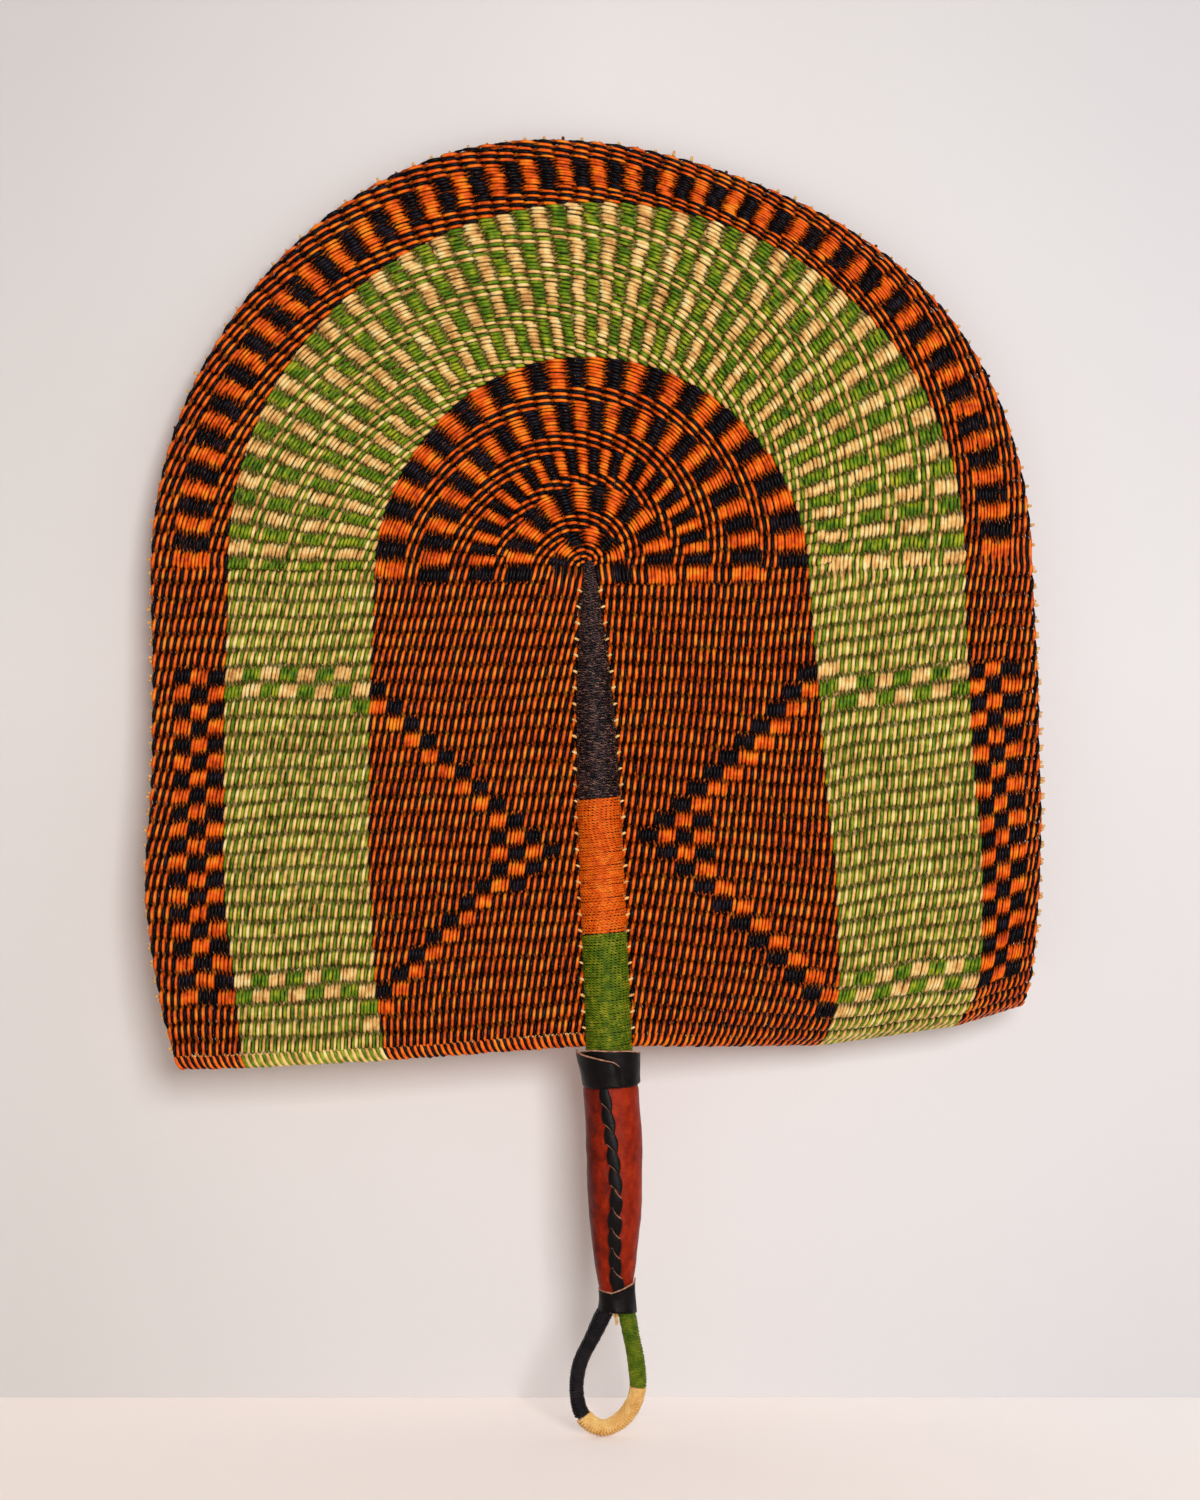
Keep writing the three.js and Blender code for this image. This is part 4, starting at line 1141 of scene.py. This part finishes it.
# %% Two plies
WRAP_PITCH = 1.02
WRAP_SLANT = 0.06
UPWARD = (0.0, 0.0, 1.0)
PLY_RADIUS = 0.3
PLY_LIFT = 0.27  # of a ply's middle from the yarn's, out of the wrap and along it
PLY_SPREAD = 0.32
PLY_TWIST = 3.5  # length along the winding for one turn of the plies
PLY_STEPS = 6  # points of a path for one turn of the plies


def plies(centre, outward, upward):
    """Two plies twisted about a centre path."""
    twist = lengths_along(centre) / PLY_TWIST * 2 * math.pi
    made = []
    for start in (0, math.pi):
        turn = (twist + start)[:, None]
        made.append(centre + PLY_LIFT * np.cos(turn) * outward + PLY_SPREAD * np.sin(turn) * upward)
    return made


# %% Spine wraps
def stem_wrap(top, foot):
    """Plies wound on the spine from a top height to a foot height, pressed together between the stakes."""
    turns = (top - foot) / WRAP_PITCH
    girth = 2 * math.pi * (stem_half((top + foot) / 2) + 0.8)
    count = int(turns * girth / PLY_TWIST * PLY_STEPS)
    turn = np.linspace(0, turns, count)
    angle = turn * 2 * math.pi
    z = top - turn * WRAP_PITCH
    uneven = 0.1 * np.sin(turn * 1.9) * np.sin(angle * 2 + turn)
    half = stem_half(z) + WRAP_GAP + 0.5 + uneven
    deep = stem_half(z) * STEM_DEPTH + WRAP_GAP + 0.5 + uneven
    way = np.column_stack([np.cos(angle), -np.sin(angle), np.zeros_like(angle)])
    row = (HUB_Z - z) / LEFT_PITCH[0]
    pressed = 0.35 * np.sin(2 * math.pi * row) * np.abs(way[:, 0]) ** 4
    waves = 0.12 * np.sin(turn * 2.4) * np.sin(angle + 1.3 * turn)
    height = z + WRAP_SLANT * half * way[:, 0] + pressed + waves
    centre = np.column_stack([stem_x(z) + half * way[:, 0], deep * way[:, 1], height])
    return [(path, PLY_RADIUS) for path in plies(centre, way, np.array(UPWARD))]


def underlay(top, foot):
    """The first, smooth layer of straw under a wrap, as one thick tube round the stem."""
    z = np.linspace(top + 0.4, foot - 0.4, 24)
    places = np.column_stack([stem_x(z), np.zeros_like(z), z])
    return places, stem_half(z) * STEM_DEPTH + WRAP_GAP + 0.4


SPINE_WRAPS = (
    ("black", 241.6, 151.0, BLACK_YARN),
    ("orange", 150.5, 99.6, ORANGE_YARN),
    ("green", 99.1, 49.5, GREEN_YARN),
)
for label, top, foot, yarn in SPINE_WRAPS:
    paths = [*stem_wrap(top, foot), underlay(top, foot)]
    node, slot = f"spine_wrap_{label}", f"{label}_straw"
    strands_piece(f"spine_{label}_wrap", paths, yarn, node, sides=4)

# %% [markdown]
# ## Leather
# The grip is goatskin, dyed red and rubbed by hands, and its collars and lacing are black. The finish has
# clouds of dye, fine pores, fine wrinkles across the grip and darker worn spots, and the red grip's left
# side has painted shade. Cut edges show the undyed pink inside. Three noises of different size are enough,
# and a photo of hide would bring its own light and shadows with it.


# %% Leather finishes
def leather(name, deep, middle, light, roughness, crease, sheen, left_shade=0.0):
    """Dyed leather with fine folds across the grip. Painted shade darkens its left side, away from the key
    lamp.
    """
    paint = Paint(name)
    place = paint.place()
    stretched = paint.node("ShaderNodeMapping", {}, {"Vector": place, "Scale": (1.2, 1.2, 0.8)})
    cloud = paint.noise(stretched, 110.0, 5.0, 0.62)
    blotch = paint.noise(stretched, 330.0, 3.0, 0.6)
    across = paint.node("ShaderNodeSeparateXYZ", {}, [place])
    # Painted shade: the left side of the grip, away from the key lamp, is darker.
    side = paint.mapped(across + (cloud - 0.5) * 0.008, -0.001, -0.0095)
    tone = cloud * 0.36 + blotch * 0.4 + 0.17 - side * left_shade
    colour = paint.ramp(tone, [(0.38, deep), (0.55, middle), (0.72, light)])
    pores = paint.node("ShaderNodeTexVoronoi", {}, {"Vector": place, "Scale": 2400.0})
    worn = paint.mapped(paint.noise(place, 700.0, 4.0, 0.7), 0.62, 0.75)
    colour = paint.blend(worn * 0.35, colour, deep)
    folded = paint.node("ShaderNodeMapping", {}, {"Vector": place, "Scale": (0.5, 0.5, 2.6)})
    height = pores * 0.12 + paint.noise(folded, 420.0, 5.0, 0.65) * crease + cloud * 0.5
    rough = roughness + blotch * 0.25 - 0.12
    normal = paint.bump(height, 0.0006, 0.55)
    return paint.finish(Base_Color=colour, Roughness=rough, Normal=normal, Specular_IOR_Level=sheen)


def cut_edge(name, dark, light):
    paint = Paint(name)
    fibre = paint.noise(paint.place(), FIBRE_SCALE, 3.0, 0.7)
    colour = paint.blend(paint.mapped(fibre, 0.35, 0.65), dark, light)
    return paint.finish(Base_Color=colour, Roughness=0.85, Normal=paint.bump(fibre, 0.0002, 0.6))


RED_TONES = (srgb(90, 16, 3), srgb(144, 32, 3), srgb(182, 54, 11))
BLACK_HIDE_TONES = (srgb(5, 4, 4), srgb(10, 7, 7), srgb(26, 19, 17))
# The red grip gets painted shade on its left side.
red_finish = {"roughness": 0.42, "crease": 0.9, "sheen": 0.12, "left_shade": 0.17}
black_finish = {"roughness": 0.4, "crease": 0.45, "sheen": 0.14}
RED_LEATHER = leather("red_leather", *RED_TONES, **red_finish)
BLACK_LEATHER = leather("black_leather", *BLACK_HIDE_TONES, **black_finish)
CUT_EDGE = cut_edge("cut_leather_edge", dark=srgb(132, 84, 62), light=srgb(212, 156, 124))

# %% [markdown]
# ## Skins from a grid
# Leather pieces start as a flat grid, as hide does. Each grid is rolled or bent to its place, its seam is
# welded where it closes, and a Solidify modifier gives the thickness and a rim with its own material for
# the cut edge. Sculpting would do too, but a function from the flat sheet to its place can be read and
# changed.


# %% Skin helper
WELD_DISTANCE = 0.02


def never(u, v):
    return False


def thin_last(share, count, part):
    """The share of a grid of so many cells, with its last cell narrowed to a part of the whole."""
    before_last = (count - 1) / count
    if share <= before_last:
        return share / before_last * (1 - part)
    return 1 - part + (share - before_last) * count * part


def skin_piece(
    name, cells, shape, thickness, node, material, slot, rim=None, closed=False, cut_at=never
):
    """A grid whose corners run from 0 to 1 both ways, moved by shape(u, v) to places in millimetres.

    The rim's material is on the sheet's thickness, and on the faces where cut_at(u, v) says so.
    """
    bm = bmesh.new()
    bmesh.ops.create_grid(bm, x_segments=cells[0], y_segments=cells[1], size=0.5)
    for face in bm.faces:
        middle = face.calc_center_median()
        face.material_index = 1 if cut_at(middle.x + 0.5, middle.y + 0.5) else 0
    for vertex in bm.verts:
        u, v = vertex.co.x + 0.5, vertex.co.y + 0.5
        vertex.co = Vector(shape(u, v)) * MM
    if closed:
        bmesh.ops.remove_doubles(bm, verts=bm.verts, dist=WELD_DISTANCE * MM)
    bmesh.ops.recalc_face_normals(bm, faces=bm.faces)
    mesh = bpy.data.meshes.new(name)
    bm.to_mesh(mesh)
    bm.free()
    mesh.shade_smooth()
    mesh.materials.append(material)
    piece = bpy.data.objects.new(name, mesh)
    bpy.context.scene.collection.objects.link(piece)
    wall = piece.modifiers.new("thickness", "SOLIDIFY")
    wall.thickness = thickness * MM
    wall.offset = -1
    wall.use_even_offset = False
    if rim:
        mesh.materials.append(rim)
        wall.material_offset_rim = 1
    attach(piece, "fan", node)
    print(f"{name}: {len(mesh.polygons)} faces")


# %% Shapes round the stem
def rolled(angle, z, half, deep):
    """A place round the stem: angle 0 is on the right, and a quarter turn back from there is in front."""
    return (stem_x(z) + half * math.cos(angle), deep * math.sin(angle), z)


def front_seam(u):
    """The angle at share u of a sheet that starts and ends in front."""
    return -math.pi / 2 + u * 2 * math.pi


def lumps(angle, size, z, *shift):
    """Noise round the stem, about between -1 and 1. A larger size gives smaller lumps round it."""
    place = Vector((math.cos(angle) * size, math.sin(angle) * size, z))
    return noise.noise(place + Vector(shift or (0, 0, 0)))


BLACK_SKIN = {"material": BLACK_LEATHER, "slot": "black_leather", "rim": CUT_EDGE}


# %% [markdown]
# ## Grip
# The red sleeve swells in the hand and narrows to its foot. The lacing pulls at it, so the surface dips
# beside each stitch, and broad low lumps show the straw beneath. A plain cylinder with a bump map would
# keep a straight outline, so all of this is in the shape of the sheet.

# %% Grip leather
LEATHER_HALF = (
    (48, 9.3), (43, 9.5), (40, 10.5), (16, 10.8), (2, 10.55),
    (-10, 9.9), (-21, 8.65), (-31, 7.3), (-36, 6.5), (-40, 6.4),
)
LACING_PATH = ((39, -2.5), (16, -0.6), (1, 0.6), (-11, -0.2), (-26, -0.2), (-35.5, 0.8))
LACING_STITCHES = 10
LACING_TOP, LACING_FOOT = 40.5, -37.0
LEATHER_THICKNESS = 1.4
LEATHER_FOOT, LEATHER_LENGTH = -40, 88


def leather_half(z):
    return at_height(LEATHER_HALF, z)


def lacing_x(z):
    return at_height(LACING_PATH, z)


def stitch_phase(z):
    return (LACING_TOP - z) / (LACING_TOP - LACING_FOOT) * LACING_STITCHES


def leather_swell(angle, z):
    """How far the leather leaves its plain shape: broad and fine lumps and the pull of each stitch."""
    broad = 0.42 * lumps(angle, 1.1, z / 16)
    fine = 0.14 * lumps(angle, 3, z / 5, 7, 1, 3)
    across = leather_half(z) * math.cos(angle) - lacing_x(z)
    front = max(0.0, -math.sin(angle))
    tight = 0.5 + 0.5 * math.cos(2 * math.pi * stitch_phase(z))
    pull = -0.35 * math.exp(-((abs(across) - 2.6) / 1.2) ** 2) * tight
    return broad + fine + pull * front


# %% Grip piece
def grip_shape(u, v):
    angle = front_seam(u)
    z = LEATHER_FOOT + v * LEATHER_LENGTH
    swell = leather_swell(angle, z)
    half = leather_half(z)
    return rolled(angle, z, half + swell, half * STEM_DEPTH + swell)


grip_look = {"material": RED_LEATHER, "slot": "red_leather"}
skin_piece(
    "leather_grip", (112, 130), grip_shape, LEATHER_THICKNESS, "grip_leather", closed=True, **grip_look
)

# %% [markdown]
# ## Lacing
# A black thong is whipped over the seam. From the front each stitch is a leaf that slants a little, rises
# over the one below it and tucks under the one above, with a line of pink cut edge where it crosses. One
# long strip on a curve would twist at every turn, so each stitch is a sheet of its own, and the parts that
# are hidden behind the leather are left out.

# %% Lacing
LACING_HALF = 2.45
LACING_THICKNESS = 0.4
FLIP_STITCH = 5  # from this stitch down, each laps over the one above instead of the one below
LEAF_CELLS = (8, 16)
EDGE_WIDTH = 0.09  # of the leaf, on its cut side


def lacing_leaf(index):
    """One stitch as a leaf whose slanting cut edge crosses the seam from upper left to lower right."""
    pitch = (LACING_TOP - LACING_FOOT) / LACING_STITCHES
    middle = LACING_TOP - (index + 0.5) * pitch
    half_length = pitch * 0.72
    width = LACING_HALF * (1 + 0.05 * rng.normal())
    above = index < FLIP_STITCH
    bulge = 0.25 * rng.normal()

    def shape(u, v):
        cells = LEAF_CELLS[0]
        u = 1 - thin_last(1 - u, cells, EDGE_WIDTH) if above else thin_last(u, cells, EDGE_WIDTH)
        across, up = 2 * u - 1, 2 * v - 1
        waist = 1 - 0.5 * abs(up) ** 1.4
        left = waist * (1 + 0.12 * math.sin(up * 2.5 + bulge)) * -width
        right = waist * (1 + 0.16 * math.sin(up * -2.5 + bulge)) * width
        if above:
            cut = max(0.0, (-up - 0.25) / 0.75)
            left = left + (right - left) * 0.93 * cut
        else:
            cut = max(0.0, (up - 0.25) / 0.75)
            right = right + (left - right) * 0.93 * cut
        dx = left + (right - left) * u
        z = middle + up * half_length
        half = leather_half(z)
        x_local = lacing_x(z) + dx
        front = math.sqrt(max(0.0, 1 - (x_local / (half + 0.3)) ** 2))
        over = -up if above else up
        lift = 0.45 + 0.4 * over + 0.4 * (1 - across**2) * (1 - 0.5 * abs(up))
        y = -(half * STEM_DEPTH + 0.1) * front - lift
        return (stem_x(z) + x_local, y, z)

    return shape


# %% Lacing pieces
def lower_left_cut(u, v):
    return u < 1 / 8 and v < 0.4


def upper_right_cut(u, v):
    return u > 7 / 8 and v > 0.6


for index in range(LACING_STITCHES):
    name = f"lacing_stitch_{index + 1:02d}"
    cut_at = lower_left_cut if index < FLIP_STITCH else upper_right_cut
    leaf = lacing_leaf(index)
    skin_piece(name, LEAF_CELLS, leaf, LACING_THICKNESS, "grip_lacing", cut_at=cut_at, **BLACK_SKIN)

# %% [markdown]
# ## Collars
# A black band closes each end of the grip. The upper one flares against the blade, and its free end laps
# over the front from the left. One spiral sheet could make both turns, but a closed band and a flap over it
# are simpler to shape one by one.


# %% Upper collar
UPPER_TOP, UPPER_FOOT = 54.0, 41.0
LOWER_TOP, LOWER_FOOT = -36.2, -45.8
UPPER_HALF, FLAP_HALF = 10.55, 11.0
COLLAR_SHIFT = 0.7  # the collars sit a little to the right of the stem's axis


def upper_share(z):
    return min(1.0, max(0.0, (z - UPPER_FOOT) / (UPPER_TOP - UPPER_FOOT)))


def upper_collar_shape(u, v):
    """The band, which flares to the right and stands higher in front, so that its mouth is hidden."""
    angle = front_seam(u)
    wave = 0.2 * math.sin(2 * angle + 1) + 0.15 * math.sin(5 * angle)
    top = UPPER_TOP - 0.5 + wave - 2.0 * math.sin(angle)
    foot = UPPER_FOOT + 0.3 * math.sin(angle * 3 + 0.4) + 1.3 * max(0.0, math.cos(angle)) ** 3
    z = foot + thin_last(v, 14, 0.03) * (top - foot)
    flare = upper_share(z) ** 1.3 * (0.75 + 0.75 * max(0.0, math.cos(angle)))
    half = UPPER_HALF + 0.22 * lumps(angle, 2, z / 5) + flare
    x, y, z = rolled(angle, z, half, half * STEM_DEPTH)
    return (x + COLLAR_SHIFT * (1 - upper_share(z)), y, z)


def upper_flap_shape(u, v):
    """The lapped end: from the left side over the front, with a falling top edge and a pinched end."""
    angle = math.radians(165 + u * 122)
    top = UPPER_TOP + 0.4 - 3.9 * u**1.7 - 1.2 * max(0.0, u - 0.9) * 10
    foot = UPPER_FOOT - 0.2 + 0.3 * math.sin(u * 9)
    z = foot + thin_last(v, 16, 0.035) * (top - foot)
    pinch = 0.5 * math.exp(-((u - 1) / 0.1) ** 2) * (0.4 + v)
    ripple = 0.14 * math.sin(u * 22 + 2 * v) * u**3
    half = FLAP_HALF + upper_share(z) ** 1.2 * 1.5 * (1 - 0.6 * u) - pinch + ripple
    half += 0.2 * noise.noise(Vector((u * 5, 0.3, z / 4)))
    x, y, z = rolled(angle, z, half, half * STEM_DEPTH + 0.15)
    return (x + COLLAR_SHIFT * (1 - upper_share(z)), y, z)


# %% Upper collar pieces
def cut_above(share):
    """The rule for a cut edge along the top of a sheet."""
    return lambda u, v: v > share


band_look = {"closed": True, "cut_at": cut_above(13 / 14), **BLACK_SKIN}
flap_look = {"cut_at": cut_above(15 / 16), **BLACK_SKIN}
band_thickness, flap_thickness = 0.8, 0.6
skin_piece("upper_collar_band", (72, 14), upper_collar_shape, band_thickness, "upper_collar", **band_look)
skin_piece("upper_collar_flap", (44, 16), upper_flap_shape, flap_thickness, "upper_collar", **flap_look)

# %% [markdown]
# ### Lower collar
# The lower strip is drawn in round the loop's legs, and its two ends cross in a V at the front. It is made
# as the upper one is: a closed band whose top edge dips in front, and a flap over it for the lapped end.


# %% Lower collar
LOWER_HALF = 7.05


def lower_half(angle, v):
    """The collar's half width, narrowest in the middle of its height."""
    drawn = LOWER_HALF - 0.3 * math.sin(math.pi * v) + 0.15 * (1 - v)
    return drawn + 0.22 * lumps(angle, 2, v * 2 + 9)


def lower_collar_shape(u, v):
    """The band and its left end, whose top edge falls to the front."""
    angle = front_seam(u)
    front = (angle + math.pi / 2) if u < 0.5 else (angle - 3 * math.pi / 2)
    dip = 1.6 * math.exp(-((front / 0.8) ** 2))
    top = LOWER_TOP + 0.5 - dip + 0.9 * math.cos(angle)
    foot = LOWER_FOOT - 0.9 * math.sin(angle)
    z = foot + thin_last(v, 14, 0.05) * (top - foot)
    half = lower_half(angle, v)
    x, y, z = rolled(angle, z, half, half * STEM_DEPTH)
    return (x + COLLAR_SHIFT * 0.5, y, z)


def lower_flap_shape(u, v):
    """The right end, lapped over the left one: its cut edge climbs to the right."""
    angle = math.radians(-108 + u * 104)
    top = LOWER_TOP - 1.4 + 4.9 * u**0.9
    foot = LOWER_FOOT - 0.2 - 0.9 * math.sin(angle)
    z = foot + thin_last(v, 14, 0.05) * (top - foot)
    fold = 0.35 * math.exp(-((u / 0.14) ** 2))
    half = lower_half(angle, v) + 0.55 - fold + 0.12 * math.sin(u * 14 + 4 * v)
    x, y, z = rolled(angle, z, half, half * STEM_DEPTH + 0.1)
    return (x + COLLAR_SHIFT * 0.5, y, z)


flap_look = {"cut_at": cut_above(13 / 14), **BLACK_SKIN}
band_thickness, flap_thickness = 0.7, 0.5
skin_piece("lower_collar_band", (64, 14), lower_collar_shape, band_thickness, "lower_collar", **band_look)
skin_piece("lower_collar_flap", (32, 14), lower_flap_shape, flap_thickness, "lower_collar", **flap_look)

# %% [markdown]
# ## Inside the grip, and the frayed ends
# A cord binds the tails inside the leather, where nobody sees it, so it uses the plies of the wraps again.
# Below the lower collar a few straws stick out between the legs of the loop. Each is a tapered tube of its
# own, because so few straws are seen one by one.

# %% Binding
BINDING_TOP = 28
BINDING_PITCH = 8
BINDING_TURNS = 5


def binding_cord():
    """The plies of a cord that is wound round the tails in a few open turns."""
    turn = np.linspace(0, BINDING_TURNS, BINDING_TURNS * 90)
    z = BINDING_TOP - turn * BINDING_PITCH
    level = np.zeros_like(turn)
    way = np.column_stack([np.cos(turn * 2 * math.pi), -np.sin(turn * 2 * math.pi), level])
    half = stem_half(z) + WRAP_GAP + 0.4
    deep = stem_half(z) * STEM_DEPTH + WRAP_GAP + 0.4
    centre = way * np.column_stack([half, deep, level]) + np.column_stack([stem_x(z), level, z])
    return [(path, PLY_RADIUS) for path in plies(centre, way, np.array(UPWARD))]


strands_piece("core_cord", binding_cord(), NATURAL, "core_binding", sides=4)

# %% Frayed straws
FRAY_TOP = -43.5
FRAY_RADIUS = 0.36
FRAY = (  # each straw's share of the way to the right, its length and its place along Y
    (-0.9, 4.2, -0.9), (-0.2, 7.6, 0.5), (0.5, 7.4, -0.6),
    (0.9, 6.8, -0.2), (1.3, 4.2, 0.3), (-1.6, 3.2, -1.2),
)
t = np.linspace(0, 1, 6)
fray_paths = []
for dx, length, dy in FRAY:
    lean = dx * 0.25 + 0.15
    x = 0.4 + dx * 0.6 + lean * t**2
    places = np.column_stack([x, dy * (1 - 0.4 * t), FRAY_TOP - length * t])
    fray_paths.append((places, FRAY_RADIUS * (1 - 0.4 * t)))
strands_piece("frayed_ends", fray_paths, NATURAL, "frayed_straws")

# %% [markdown]
# ## Hanging loop
# A bundle of straw is bent round and wound from end to end with two-ply straw: black down the left leg,
# natural round the bottom and green up the right leg. A smooth first layer of the same straw fills the gaps
# between the plies. A Bezier curve could be drawn by hand, but a route through a few measured points is
# exact, and its length can be reported.

# %% Loop route
HINGE_Z = -46.5
LOOP_ROUTE = (  # x and z
    (-4.2, HINGE_Z), (-8.7, -56), (-13.1, -65), (-14.6, -76), (-12, -85.8), (-4.8, -90.3),
    (3.6, -86.2), (8.6, -77), (8.3, -65), (6.4, -55), (4.8, HINGE_Z),
)


def route_through(points, steps):
    """A smooth route whose knots are spaced by the square root of their distances."""
    points = np.array(points, float)
    points = np.vstack([2 * points[0] - points[1], points, 2 * points[-1] - points[-2]])
    route = []
    for i in range(1, len(points) - 2):
        p = points[i - 1 : i + 3]
        gaps = np.sqrt(np.linalg.norm(np.diff(p, axis=0), axis=1))
        before, here, after = np.diff(p, axis=0) / gaps[:, None]
        pull_start = (before - (p[2] - p[0]) / (gaps[0] + gaps[1]) + here) * gaps[1]
        pull_end = (here - (p[3] - p[1]) / (gaps[1] + gaps[2]) + after) * gaps[1]
        t = (np.arange(steps) / steps)[:, None]
        route.append(cubic(t, p[1], p[2], pull_start, pull_end))
    return np.vstack([*route, points[-2]])


# %% Middle line of the loop
TUCK = 1.2  # how far the loop reaches up into the lower collar
loop_flat = route_through(LOOP_ROUTE, 40)
tucked_start = loop_flat[0] + [0.8, TUCK]
tucked_end = loop_flat[-1] + [-0.6, TUCK]
loop_flat = np.vstack([tucked_start, loop_flat, tucked_end])
loop_route = np.column_stack([loop_flat[:, 0], np.zeros(len(loop_flat)), loop_flat[:, 1]])
loop_travel = lengths_along(loop_route)
LOOP_LENGTH = loop_travel[-1]
print(f"loop length {LOOP_LENGTH:.1f} mm")


def loop_places(distance):
    return np.column_stack([np.interp(distance, loop_travel, way) for way in loop_route.T])


def on_loop(distance):
    """Places on the loop's middle, with the ways along the loop and across it in its plane."""
    tangent = unit(loop_places(distance + 0.4) - loop_places(distance - 0.4))
    across = np.column_stack([-tangent[:, 2], np.zeros(len(tangent)), tangent[:, 0]])
    return loop_places(distance), tangent, across


def blend_at_mouth(piece):
    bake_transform(piece)


# %% Loop windings
BACKWARD = np.array([0.0, 1.0, 0.0])


def loop_winding(start, end, reach):
    """A two-ply winding along the loop between two distances, over a first layer."""
    turns = (end - start) / WRAP_PITCH
    girth = 2 * math.pi * reach
    count = int(turns * girth / PLY_TWIST * PLY_STEPS * 1.3)
    turn = np.linspace(0, turns, count)
    distance = start + turn * WRAP_PITCH
    place, tangent, across = on_loop(distance)
    angle = turn * 2 * math.pi
    swell = 1 + 0.03 * np.sin(distance / 3.1) + 0.02 * np.sin(distance * 1.7 + 1)
    swell += 0.13 * np.exp(-((distance / 12) ** 2)) - 0.06 * np.exp(-(((distance - 27) / 9) ** 2))
    way = across * np.cos(angle)[:, None] + BACKWARD * np.sin(angle)[:, None]
    tilt = 0.5 * np.sin(angle + 0.5)
    centre = place + way * (reach * swell)[:, None] + tangent * tilt[:, None]
    under = (loop_places(np.linspace(start, end, 40)), reach - 0.05)
    return [(path, PLY_RADIUS) for path in plies(centre, way, tangent)] + [under]


# %% [markdown]
# ### Core and windings of the loop
# The loop's legs bend where they leave the collar, so its pieces ride on no single body. Each piece keeps
# its place baked into its mesh.

# %% Loop pieces
LOOP_BLACK_END = 42.0 + TUCK
LOOP_NATURAL_END = 73.5 + TUCK
CORE_STRAW = 0.62  # radius of one straw in the core
CORE_SHIFT = 1.15  # of the six outer straws from the middle one
LOOP_WRAPS = (
    ("black", 0.0, LOOP_BLACK_END, 2.5, LOOP_YARN),
    ("natural", LOOP_BLACK_END + 0.3, LOOP_NATURAL_END, 2.85, NATURAL_YARN),
    ("green", LOOP_NATURAL_END + 0.3, LOOP_LENGTH, 2.85, GREEN_YARN),
)
core_places, _, core_across = on_loop(np.linspace(0, LOOP_LENGTH, 60))
core_paths = []
for index in range(6):
    turned = index * math.pi / 3
    offset = core_across * math.cos(turned) * CORE_SHIFT + BACKWARD * math.sin(turned) * CORE_SHIFT
    core_paths.append((core_places + offset, CORE_STRAW))
core_paths.append((core_places, CORE_STRAW))
blend_at_mouth(strands_piece("loop_straws", core_paths, NATURAL, "loop_core", body=None))
for label, start, end, reach, yarn in LOOP_WRAPS:
    paths = loop_winding(start, end, reach)
    node, slot = f"loop_wrap_{label}", f"{label}_straw"
    blend_at_mouth(strands_piece(f"loop_{label}_wrap", paths, yarn, node, body=None))

# %% [markdown]
# ## Size
# The part's own box and the dressed fan's box are printed side by side. The dressed fan must stay inside
# the part's own box, apart from what straw may stand proud.

# %% Size
DRESSED_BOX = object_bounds()
for label, (low, high) in (("cad", CAD_BOX), ("dressed", DRESSED_BOX)):
    print(label, [round((b - a) / MM, 1) for a, b in zip(low, high)])
